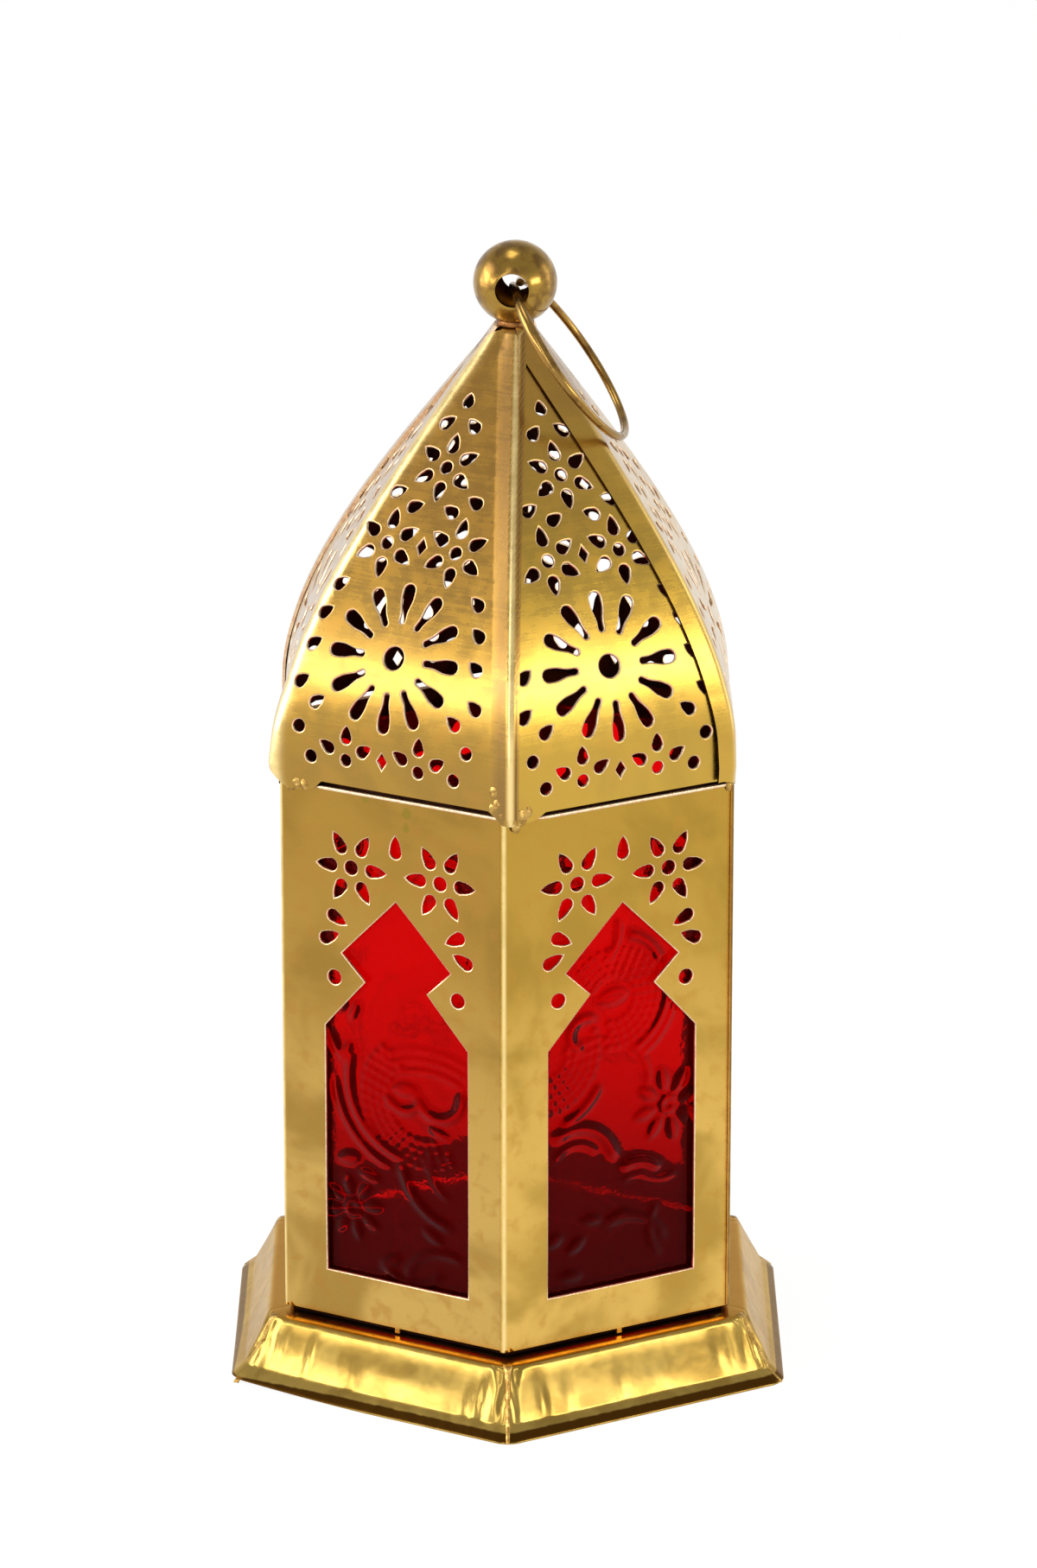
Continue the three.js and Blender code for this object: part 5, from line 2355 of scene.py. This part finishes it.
RIGHT_PATTERN = [
    Ridge((1.4, 76.8), 7.9, (15, 88), 0.7, 1.0, -0.8),
    Ridge((-5.4, 86.6), 6.0, (-60, 20), 0.6, 0.7),
    Leaf((-0.6, 74.6), 7.6, 3.4, 6, 0.9),
    Beading((-0.6, 74.2), (4.6, 9.2), (-100, 150), 1.45),
    Ridge((-0.8, 74.4), 11.2, (-72, 8), 0.7, 1.0),
    Ridge((-0.8, 74.4), 12.9, (-66, 2), 0.6, 0.8),
    Ridge((-6.4, 68.2), 3.6, (40, 270), 0.8, 1.0, 1.4),
    Beading((-13.8, 65.4), (4.0, 10.0), (-88, 22), 1.5),
    Ridge((-13.6, 63.6), 11.4, (-78, -24), 0.8, 1.0),
    Ridge((-1.8, 58.0), 8.5, (-10, 62), 0.5, 0.6),
    *star_flower(10.6, 52.6, 7.4),
    Ridge((-8.0, 43.4), 7.9, (2, 128), 1.0, 1.1),
    Ridge((-8.0, 43.4), 5.0, (30, 150), 0.5, 0.7),
    Ridge((4.0, 36.4), 6.6, (40, 118), 1.0, 1.1),
    Ridge((4.0, 36.4), 4.2, (40, 130), 0.5, 0.6),
    Ridge((10.0, 45.0), 6.0, (180, 300), 0.5, 0.7),
    Leaf((0.6, 33.4), 7.2, 1.9, 8),
    Leaf((-12.4, 31.2), 4.2, 2.4, 20),
    Leaf((-8.0, 29.6), 5.0, 2.2, 35),
    Leaf((-4.6, 33.8), 5.0, 1.8, -10),
    Ridge((2.0, 24.0), 9.0, (20, 120), 0.7, 0.8),
    Ridge((14.0, 30.0), 7.0, (140, 230), 0.6, 0.7),
    Leaf((-9.0, 24.0), 5.5, 2.0, -8),
]


@dataclass
class PressedPanes(Subassembly):
    """The six panes of red pressed glass, cut from two rolled patterns.

    Attributes:
        relief: depth of the pattern.
        step: size of a face.
        softening: how often the relief is smoothed.
        shade: painted shade that a slope of one gives.
        repeat: height after which the pattern comes again.
        shifts: how far the pattern is moved down on the panes that are not in front.
    """

    relief: float = 0.5
    step: float = 0.36
    softening: int = 2
    shade: float = 2.3
    repeat: float = 72.0
    shifts: tuple[tuple[Side, float], ...] = (
        (Side.RIGHT, 16.0),
        (Side.REAR_RIGHT, -7.0),
        (Side.REAR_LEFT, 9.0),
        (Side.LEFT, -13.0),
    )

    def relief_at(self, side: Side, x: Array, z: Array) -> Array:
        """Gives the pressed relief of a pane.

        Args:
            side: the pane's side.
            x: distances across.
            z: heights.

        Returns:
            Relief in millimetres.
        """
        pattern = LEFT_PATTERN if side.value % 2 else RIGHT_PATTERN
        shift = dict(self.shifts).get(side, 0.0)
        flip = -1 if side in (Side.REAR_LEFT, Side.RIGHT) else 1
        raised = np.zeros_like(x)
        for repeat in (-self.repeat, 0.0, self.repeat):
            for part in pattern:
                raised = np.maximum(raised, part.relief(x * flip, z + shift + repeat))
        for _ in range(self.softening):
            for axis in (0, 1):
                raised = (np.roll(raised, 1, axis) + 2 * raised + np.roll(raised, -1, axis)) / 4
        return raised * self.relief

    def build(self) -> None:
        """Makes the six panes."""
        sizes = self.sizes
        half, low, high = sizes.pane_half, sizes.pane_bottom, sizes.pane_top
        across = np.linspace(-half, half, round(2 * half / self.step))
        up = np.linspace(low, high, round((high - low) / self.step))
        z, x = np.meshgrid(up, across, indexing="ij")
        for side in Side:
            relief = self.relief_at(side, x, z)
            sunk = sizes.pane_front - self.relief
            front = np.stack([x, -(sunk + relief), z], axis=-1)
            builder = MeshBuilder()
            # Painted shade: the glass colour is darkened where the relief is steep.
            steep = np.hypot(*np.gradient(relief, self.step))
            shade = -np.clip(self.shade * steep, 0, 1)
            numbers = builder.add_grid(front.transpose(1, 0, 2), painted_light=shade.T)
            ring = np.concatenate([numbers[:-1, 0], numbers[-1, :-1], numbers[:0:-1, -1], numbers[0, :0:-1]])
            flat = np.concatenate(builder.points)[ring]
            flat[:, 1] = -sizes.pane_back
            back = builder.add_points(flat)
            builder.add_wall(ring, back)
            builder.add_faces(back[::-1][None])
            node = "door_glass" if side.is_door else f"glass_{side.label}"
            place = (body_of(side), "red_glass", node)
            self.hang(builder, f"{node}_pressed", ["red_glass"], place, side.turn, 60)


@dataclass(frozen=True)
class Dent:
    """A crease or hollow in the base's flank.

    Attributes:
        side: the side of the base.
        along: distance from the side's middle, to the right seen from outside.
        height: its middle's height.
        size: half its width and half its height.
        depth: how deep it is, or how proud if negative.
    """

    side: Side
    along: float
    height: float
    size: tuple[float, float]
    depth: float


@dataclass
class BaseMoulding(Subassembly):
    """The pressed base, mitred and soldered at its six corners.

    Attributes:
        sheet: thickness of the brass.
        columns: sections along each side.
        bead_width: half width of the solder on a corner.
        bead_height: how far the solder stands proud.
        bead_points: points across the solder.
        bead_seed: picks its unevenness.
        plan_radius: rounding of the corners at the foot and at the top.
        left_lift: how far the lip is bent up at the left corner.
        seam: distance from a corner to the groove beside its solder.
        seam_spread: how much further that is at the top.
        groove: its depth and half its width.
        dents: creases and hollows of the flank.
    """

    sheet: float = 0.6
    columns: int = 96
    bead_width: float = 0.62
    bead_height: float = 0.30
    bead_points: int = 9
    bead_seed: int = 7
    plan_radius: tuple[float, float] = (4.2, 5.5)
    left_lift: float = 1.1
    seam: float = 0.9
    seam_spread: float = 3.2
    groove: tuple[float, float] = (0.35, 0.38)
    dents: tuple[Dent, ...] = (
        Dent(Side.FRONT_LEFT, 21.0, 5.0, (0.8, 3.6), 0.55),
        Dent(Side.FRONT_LEFT, 18.3, 4.0, (0.7, 3.2), 0.35),
        Dent(Side.FRONT_LEFT, 23.3, 4.5, (0.7, 3.0), -0.3),
        Dent(Side.FRONT_LEFT, -14.8, 6.0, (0.6, 3.5), 0.35),
        Dent(Side.FRONT_LEFT, -5.2, 4.2, (0.9, 2.2), 0.3),
        Dent(Side.FRONT_LEFT, -23.2, 7.0, (0.8, 4.0), 0.35),
        Dent(Side.FRONT_LEFT, -20.5, 7.0, (0.8, 3.0), 0.2),
        Dent(Side.FRONT_LEFT, 3.0, 6.0, (6.0, 2.5), 0.12),
        Dent(Side.FRONT_RIGHT, -19.0, 5.5, (0.9, 3.5), 0.35),
        Dent(Side.FRONT_RIGHT, -13.8, 5.0, (1.0, 2.6), 0.2),
        Dent(Side.FRONT_RIGHT, -2.9, 5.5, (0.5, 2.8), 0.3),
        Dent(Side.FRONT_RIGHT, 17.4, 7.0, (1.0, 3.0), 0.3),
        Dent(Side.FRONT_RIGHT, 19.6, 6.5, (0.7, 3.5), 0.25),
        Dent(Side.FRONT_RIGHT, 22.7, 7.0, (0.9, 3.0), 0.3),
        Dent(Side.FRONT_RIGHT, 5.0, 5.0, (6.0, 2.2), 0.1),
    )

    def profile(self) -> Array:
        """Gives the outside of the moulding.

        Returns:
            Rows of corner radius and height.
        """
        foot, top = self.sizes.foot_radius, self.sizes.base_top
        return rounded_profile([
            (38.5, top, 0),
            (49.0, top - 0.1, 1.0),
            (51.5, 6.8, 5.0),
            (53.9, 2.55, 0.4),
            (54.5, 2.1, 0.3),
            (foot - 0.4, 0.6, 0.35),
            (foot - 0.1, 0.25, 0.12),
            (foot - 0.35, 0.0, 0),
            (foot - 3.6, 0.0, 0),
        ])

    def loop(self) -> tuple[Array, Array]:
        """Closes the sheet's section.

        Returns:
            The loop as corner radius and height, and its outward normals on the face's plane.
        """
        outer = self.profile()
        flat = outer * np.array([COS_HALF, 1])
        steps = unit(np.diff(flat, axis=0))
        normals = np.column_stack([steps[:, 1], -steps[:, 0]])
        at_points = -unit(np.concatenate([normals[:1], normals[:-1] + normals[1:], normals[-1:]]))
        inner = (flat - at_points * self.sheet) / np.array([COS_HALF, 1])
        loop = np.concatenate([outer, inner[::-1]])
        return loop, np.concatenate([at_points, np.zeros_like(at_points)])

    def round_corners(self, share: float, face: Array, radius: Array) -> tuple[Array, Array]:
        """Lays a section's points on a hexagon with rounded corners.

        Args:
            share: place along the side, from -1 to 1.
            face: distance of each point's face from the axis.
            radius: of the corner's rounding at each point.

        Returns:
            Distances along the side and out from the axis.
        """
        straight = (face - radius) * TAN_HALF
        along = abs(share) * face * TAN_HALF
        angle = HALF_STEP * np.clip((along - straight) / (radius * TAN_HALF), 0, 1)
        on_arc = along > straight
        along = np.where(on_arc, straight + radius * np.sin(angle), along)
        out = np.where(on_arc, face - radius + radius * np.cos(angle), face)
        return math.copysign(1, share) * along, out

    def push(self, side: Side, along: Array, height: Array, waves: Waviness) -> Array:
        """Gives how far dents, waves and the soldered seams push the flank out.

        Args:
            side: the side of the base.
            along: distances along it.
            height: heights.
            waves: its unevenness.

        Returns:
            Distances outwards.
        """
        pushed = waves(np.column_stack([along, height * 2]))
        for dent in self.dents:
            if dent.side is side:
                aside = (along - dent.along) / dent.size[0]
                above = (height - dent.height) / dent.size[1]
                pushed = pushed - dent.depth * np.exp(-(aside**2 + above**2))
        corner = self.sizes.foot_radius * 0.9 * math.sin(HALF_STEP) - np.abs(along)
        seam = self.seam + self.seam_spread * np.clip((height - 8.4) / 3, 0, 1) ** 2
        depth, width = self.groove
        pushed -= depth * np.exp(-(((corner - seam) / width) ** 2)) * np.clip((height - 2.2) / 2, 0, 1)
        flank = np.clip((height - 2.0) / 1.2, 0.1, 1) * np.clip((self.sizes.base_top - height) / 0.8, 0, 1)
        return pushed * flank

    def build(self) -> None:
        """Makes the moulding and the solder along its corners."""
        loop, normals = self.loop()
        radius, height = loop.T
        rounding = np.interp(height, (2.0, self.sizes.base_top), self.plan_radius)
        turns = np.linspace(-math.pi / 2, math.pi / 2, self.columns + 1)[:-1]
        rows = []
        for side in Side:
            waves = Waviness(seed=51 + side.value, height=0.04, length=17)
            for share in np.sin(turns):
                along, out = self.round_corners(share, radius * COS_HALF, rounding)
                push = self.push(side, along, height, waves)
                left_front = {Side.FRONT_LEFT: -share, Side.LEFT: share}.get(side, 0.0)
                lift = self.left_lift * max(left_front, 0) ** 1.5 * np.clip(1 - height / 6, 0, 1)
                points = np.column_stack([
                    along, -(out + normals[:, 0] * push), np.maximum(height + normals[:, 1] * push, 0) + lift,
                ])
                rows.append(turned(points, side.turn))
        builder = MeshBuilder()
        builder.add_grid(np.array(rows), 0, (True, True))
        place = ("lantern", "brass_sheet", "base_moulding")
        self.hang(builder, "base_moulding_pressed", ["base_sheet"], place, sharp=40)
        self.build_solder()

    def build_solder(self) -> None:
        """Makes the solder bead on each corner, widest at the shoulder."""
        profile = self.profile()[2:-2]
        count, points = len(profile), self.bead_points
        across = np.linspace(-1, 1, points)
        arch = np.cos(across * math.pi / 2) ** 0.8
        draw = np.random.default_rng(self.bead_seed)
        builder = MeshBuilder()
        for side in Side:
            rows = []
            for i, (radius, height) in enumerate(profile):
                rise = 1 - i / (count - 1)
                spread = np.clip((height - 9.2) / 2, 0, 1) ** 2
                width = self.bead_width * (1 + 1.9 * spread + draw.uniform(-0.05, 0.05))
                lump = self.bead_height * (1 + 0.3 * rise**3 + draw.uniform(-0.06, 0.06))
                distance = across * width
                rounding = np.interp(height, (2.0, self.sizes.base_top), self.plan_radius)
                sunk = radius - rounding * (1 / COS_HALF - 1) + 0.1
                x = sunk * math.sin(HALF_STEP) - np.abs(distance)
                over = np.column_stack([x, np.full(points, -sunk * COS_HALF), np.full(points, height)])
                right = turned(over, -HALF_STEP)
                right[:, 0] = np.abs(right[:, 0]) * np.sign(distance)
                lift = lump * arch - 0.12
                top = right + np.column_stack([np.zeros(points), -lift, lift * 0.3])
                under = right[::-1] + np.array([0, 0.5, -0.1])
                rows.append(np.concatenate([top, under[1:-1]]))
            ring = turned(np.array(rows).reshape(-1, 3), side.turn + HALF_STEP).reshape(count, -1, 3)
            numbers = builder.add_grid(ring, 0, (False, True))
            builder.add_faces(numbers[0][None])
            builder.add_faces(numbers[-1][::-1][None])
        self.hang(builder, "base_corner_solder", ["solder"], ("lantern", "brass_sheet", ""), sharp=50)


@dataclass
class Finial(Subassembly):
    """The hollow brass ball on the neck, drilled from front to back, and its solder.

    Attributes:
        wall: thickness of the ball's wall.
        hole: radius of the drilled hole.
        turn: direction of the hole about the vertical axis.
    """

    wall: float = 0.7
    hole: float = 2.85
    turn: float = math.radians(-5)

    def build(self) -> None:
        """Makes the ball and the ring of solder at its seat."""
        radius, inner = self.sizes.ball_radius, self.sizes.ball_radius - self.wall
        start = math.asin(self.hole / radius)
        mouth = radius * math.cos(start) - 0.15
        outer = np.linspace(start + 0.05, math.pi - start - 0.05, 44)
        shell = [(radius * math.sin(a), -radius * math.cos(a)) for a in outer]
        shell.append((self.hole + 0.1, mouth))
        start = math.asin(self.hole / inner)
        hollow = np.linspace(math.pi - start, start, 24)
        shell += [(inner * math.sin(a), -inner * math.cos(a)) for a in hollow]
        shell.append((self.hole + 0.1, -mouth))
        across = Matrix.Rotation(self.turn, 4, "Z") @ Matrix.Rotation(math.pi / 2, 4, "X")
        builder = MeshBuilder()
        lathe(builder, np.array(shell), Matrix.Translation(self.sizes.ball) @ across, 72, True)
        place = ("lantern", "aged_brass", "finial_ball")
        self.hang(builder, "finial_ball_hollow", ["antique"], place, sharp=50)
        neck = self.sizes.neck
        seat = rounded_profile([
            (2.7, neck - 0.2, 0), (3.35, neck - 0.1, 0.3), (3.2, neck + 1.0, 0.5), (2.4, neck + 1.1, 0),
        ])
        builder = MeshBuilder()
        lathe(builder, seat, Matrix.Translation((self.sizes.lean, 0, 0)), 36, True)
        # The solder ring takes the dark red-brown painted shadow of the ball.
        self.hang(builder, "neck_solder", ["painted_neck_shadow"], ("lantern", "aged_brass", ""), sharp=60)


@dataclass
class HangingRing(Subassembly):
    """The wire ring: one turn whose ends overlap inside the ball.

    Attributes:
        wire: radius of the wire.
        swelling: how much thicker its thickest place is, as a share.
        looseness: how much smaller than its reach the ring is.
        overlap: how far each end goes past the meeting point, in radians.
        parting: the angle over which an end moves aside.
        apart: how far it moves aside.
        steps: sections round the ring.
        facets: points round the wire.
    """

    wire: float = 0.72
    swelling: float = 0.32
    looseness: float = 0.4
    overlap: float = math.radians(3)
    parting: float = math.radians(18)
    apart: float = 0.85
    steps: int = 150
    facets: int = 12

    def build(self) -> None:
        """Makes the ring."""
        arm = self.sizes.ring_centre - self.sizes.ball
        out = arm.normalized()
        level = Vector((-out.y, out.x, 0)).normalized()
        normal = out.cross(level).normalized()
        radius = arm.length - self.looseness
        last = math.pi + self.overlap
        angle = np.linspace(-last, last, self.steps)
        ends = np.clip((np.abs(angle) - last + self.parting) / self.parting, 0, 1)
        turns = 2 * math.pi * np.arange(self.facets) / self.facets
        waves = Waviness(seed=91, height=0.12, length=1.1)
        stray = waves(np.column_stack([angle, np.full(self.steps, 0.3)]))
        rings = []
        for a, end, wander in zip(angle, ends, stray):
            radial = out * math.cos(a) + level * math.sin(a)
            aside = normal * (self.apart * end * math.copysign(1, a))
            centre = self.sizes.ring_centre + radial * (radius + wander) + aside
            thick = self.wire * (1 + self.swelling * math.exp(-(((a + 2.3) / 0.8) ** 2)))
            rings.append([centre + (radial * math.cos(t) + normal * math.sin(t)) * thick for t in turns])
        builder = MeshBuilder()
        builder.add_tube(np.array([[tuple(point) for point in ring] for ring in rings]))
        self.hang(builder, "hanging_ring_wire", ["wire"], ("ring", "wire", "hanging_ring"), sharp=60)


@dataclass
class TealightTray(Subassembly):
    """The pressed cup that holds the tealight on the floor plate.

    Attributes:
        wall: thickness of the cup's metal.
        bead: height of the roll on its rim.
    """

    wall: float = 0.5
    bead: float = 0.5

    def build(self) -> None:
        """Makes the cup."""
        low, high = box_mm("tealight_cup")
        outer, rim, floor = high.y, high.z, low.z
        inner = outer - self.wall
        profile = rounded_profile([
            (0, floor, 0),
            (inner * 0.55, floor, 0.6),
            (inner * 0.6, floor + 0.4, 0.6),
            (inner * 0.66, floor, 0.6),
            (outer, floor, 1.2),
            (outer, rim - self.bead, 0.1),
            (outer + 0.25, rim - 0.1, 0.3),
            (outer - 0.2, rim, 0.25),
            (inner, rim - self.bead, 0.2),
            (inner, floor + self.wall, 1.0),
            (0, floor + self.wall, 0),
        ])
        builder = MeshBuilder()
        lathe(builder, profile, Matrix.Identity(4), 80)
        place = ("lantern", "aged_brass", "tealight_cup")
        # The cup takes the dark painted shade finish.
        self.hang(builder, "tealight_cup_pressed", ["tin"], place, sharp=40)


# Studio


@dataclass(frozen=True)
class SoftBox:
    """A flat soft lamp, unseen by the camera.

    Attributes:
        name: the lamp's name.
        place: where it hangs, in millimetres.
        aim: the place that it faces.
        size: its width and height.
        glow: how bright its surface is.
        colour: of its light.
    """

    name: str
    place: tuple[float, float, float]
    aim: tuple[float, float, float]
    size: tuple[float, float]
    glow: float
    colour: Colour = (1.0, 1.0, 1.0)

    def build(self) -> None:
        """Hangs the lamp. Its power follows from its glow and its size."""
        width, height = (side * METRE for side in self.size)
        lamp = bpy.data.lights.new(self.name, "AREA")
        lamp.shape = "RECTANGLE"
        lamp.size, lamp.size_y = width, height
        lamp.energy = self.glow * math.pi * width * height
        lamp.color = self.colour
        box = bpy.data.objects.new(self.name, lamp)
        box.location = Vector(self.place) * METRE
        gaze = (Vector(self.aim) - Vector(self.place)).normalized()
        box.rotation_euler = gaze.to_track_quat("-Z", "Y").to_euler()
        box.visible_camera = False
        bpy.context.scene.collection.objects.link(box)


@dataclass
class Studio:
    """Pale floor, white surroundings, soft lamps and the camera.

    Attributes:
        distance: from the camera to the pivot, in millimetres.
        pivot: height on the lantern's axis about which the camera stands.
        elevation: radians from the level up to the camera, seen from the pivot.
        pitch: radians that the camera looks down.
        yaw: radians that it looks to the right.
        focal: its focal length in pixels of the photograph.
        image_height: the photograph's height in pixels.
        sensor: the long side of its sensor.
        floor_size: length of the floor's sides.
        ambient: strength of the surroundings as a light, as a share of what the camera sees.
        ceiling: strength straight above, as a share of the horizon's.
        ceiling_from: rise of the direction where the surroundings start to darken.
        ceiling_to: rise where they are darkest.
        floor_glow: brightness of the floor.
        shadow_share: share of the floor's light, as the camera sees it, that shadows can dim.
        boxes: the lamps.
    """

    distance: float = 1278.4
    pivot: float = 90.0
    elevation: float = 0.3217
    pitch: float = 0.3122
    yaw: float = 0.0016
    focal: float = 8335.7
    image_height: float = 1815.0
    sensor: float = 36.0
    floor_size: float = 6000.0
    ambient: float = 0.75
    ceiling: float = 0.55
    ceiling_from: float = 0.12
    ceiling_to: float = 0.62
    floor_glow: float = 1.07
    shadow_share: float = 0.12
    boxes: tuple[SoftBox, ...] = (
        SoftBox("key", (-433, -262, 278), (0, 0, 130), (230, 85), 7.0),
        SoftBox("fill", (433, -262, 282), (0, 0, 128), (240, 80), 8.5, (1.0, 0.98, 0.94)),
        SoftBox("front", (-330, -760, 520), (0, 0, 120), (110, 900), 4.0),
        SoftBox("side_left", (-900, 60, 400), (0, 0, 130), (520, 700), 5.0),
        SoftBox("side_right", (900, 260, 300), (0, 0, 110), (260, 700), 1.6),
        SoftBox("top", (-110, 90, 1000), (0, 0, 190), (300, 300), 3.0),
    )

    def build_camera(self) -> None:
        """Places the camera where the photograph was taken from."""
        lens = bpy.data.cameras.new("camera")
        lens.sensor_width = self.sensor
        lens.lens = self.sensor * self.focal / self.image_height
        lens.clip_start, lens.clip_end = 0.05, 20
        gaze = Vector((
            math.sin(self.yaw) * math.cos(self.pitch),
            math.cos(self.yaw) * math.cos(self.pitch),
            -math.sin(self.pitch),
        ))
        right = Vector((math.cos(self.yaw), -math.sin(self.yaw), 0))
        up = right.cross(gaze)
        level, rise = math.cos(self.elevation), math.sin(self.elevation)
        place = Vector((0, -self.distance * level, self.pivot + self.distance * rise)) * METRE
        camera = bpy.data.objects.new("camera", lens)
        camera.matrix_world = Matrix.Translation(place) @ Matrix((right, up, -gaze)).transposed().to_4x4()
        bpy.context.scene.collection.objects.link(camera)
        bpy.context.scene.camera = camera

    def seen(self, nodes: FinishNodes) -> object:
        """Tells rays that come from the camera, a glossy face or through glass from the rest.

        Args:
            nodes: the material's or the world's nodes.

        Returns:
            One for those rays and nought for others.
        """
        path = nodes.add("ShaderNodeLightPath")
        either = nodes.sum(path.outputs["Is Camera Ray"], path.outputs["Is Glossy Ray"], "MAXIMUM")
        return nodes.sum(either, path.outputs["Is Transmission Ray"], "MAXIMUM")

    def build_floor(self) -> None:
        """Lays the pale floor, which keeps a faint shadow."""
        nodes = FinishNodes.for_material("pale_floor")
        matt = nodes.add("ShaderNodeBsdfDiffuse")
        matt.inputs["Color"].default_value = (0.86, 0.86, 0.86, 1)
        white = nodes.add("ShaderNodeEmission")
        white.inputs["Strength"].default_value = self.floor_glow
        share = nodes.sum(self.seen(nodes), 1 - self.shadow_share, "MULTIPLY")
        mix = nodes.add("ShaderNodeMixShader")
        nodes.wire(share, mix.inputs[0])
        nodes.wire(matt.outputs[0], mix.inputs[1])
        nodes.wire(white.outputs[0], mix.inputs[2])
        nodes.wire(mix.outputs[0], nodes.output.inputs["Surface"])
        half = self.floor_size / 2
        corners = np.array([(-half, -half, 0), (half, -half, 0), (half, half, 0), (-half, half, 0)])
        builder = MeshBuilder()
        numbers = builder.add_points(corners)
        builder.add_faces(numbers[None])
        builder.build("studio_floor", [nodes.owner])

    def build_world(self) -> None:
        """Surrounds the lantern with white that the camera sees, and a plainer light."""
        world = bpy.data.worlds.new("studio")
        bpy.context.scene.world = world
        nodes = FinishNodes(world)
        way = nodes.add("ShaderNodeSeparateXYZ")
        nodes.wire(nodes.add("ShaderNodeTexCoord").outputs["Generated"], way.inputs[0])
        dimming = nodes.ramp(way.outputs["Z"], self.ceiling_from, self.ceiling_to, 1.0, self.ceiling)
        shown = nodes.add("ShaderNodeBackground")
        plain = nodes.add("ShaderNodeBackground")
        nodes.wire(dimming, shown.inputs["Strength"])
        nodes.wire(nodes.sum(dimming, self.ambient, "MULTIPLY"), plain.inputs["Strength"])
        mix = nodes.add("ShaderNodeMixShader")
        nodes.wire(self.seen(nodes), mix.inputs[0])
        for source, number in ((plain, 1), (shown, 2)):
            source.inputs["Color"].default_value = (1, 1, 1, 1)
            nodes.wire(source.outputs[0], mix.inputs[number])
        nodes.wire(mix.outputs[0], nodes.output.inputs["Surface"])

    def build(self) -> None:
        """Sets up the studio."""
        scene = bpy.context.scene
        scene.view_settings.view_transform = "Standard"
        self.build_camera()
        self.build_world()
        self.build_floor()
        for box in self.boxes:
            box.build()


def dress_plain_nodes(nodes: dict[str, bpy.types.Object], materials: Materials) -> None:
    """Gives the nodes that stay as they are their finish.

    Args:
        nodes: the frame's nodes.
        materials: the finishes.
    """
    # The floor plate takes the near-black painted shade.
    stays = {"floor_plate": "painted_floor_shade", "door_pull": "hinge_brass"}
    for level in ("lower", "upper"):
        for kind in ("hinge_leaf", "door_leaf", "hinge_pin"):
            stays[f"{kind}_{level}"] = "hinge_brass"
    for name, finish in stays.items():
        mesh = nodes[name].data
        mesh.materials.clear()
        mesh.materials.append(materials[finish])
        log.info("%s: stays, in %s", name, finish)


def main() -> None:
    """Dresses the lantern, piece by piece."""
    logging.basicConfig(level=logging.INFO, format="%(message)s")
    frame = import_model()
    Studio().build()
    sizes = FrameSizes.read()
    materials = make_finishes()
    BaseMoulding(sizes, materials).build()
    BodyPanels(sizes, materials).build()
    PressedPanes(sizes, materials).build()
    DomePetals(sizes, materials).build()
    EaveSolder(sizes, materials).build()
    Finial(sizes, materials).build()
    HangingRing(sizes, materials).build()
    TealightTray(sizes, materials).build()
    dress_plain_nodes(frame["nodes"], materials)
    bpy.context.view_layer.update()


if __name__ == "__main__":
    main()
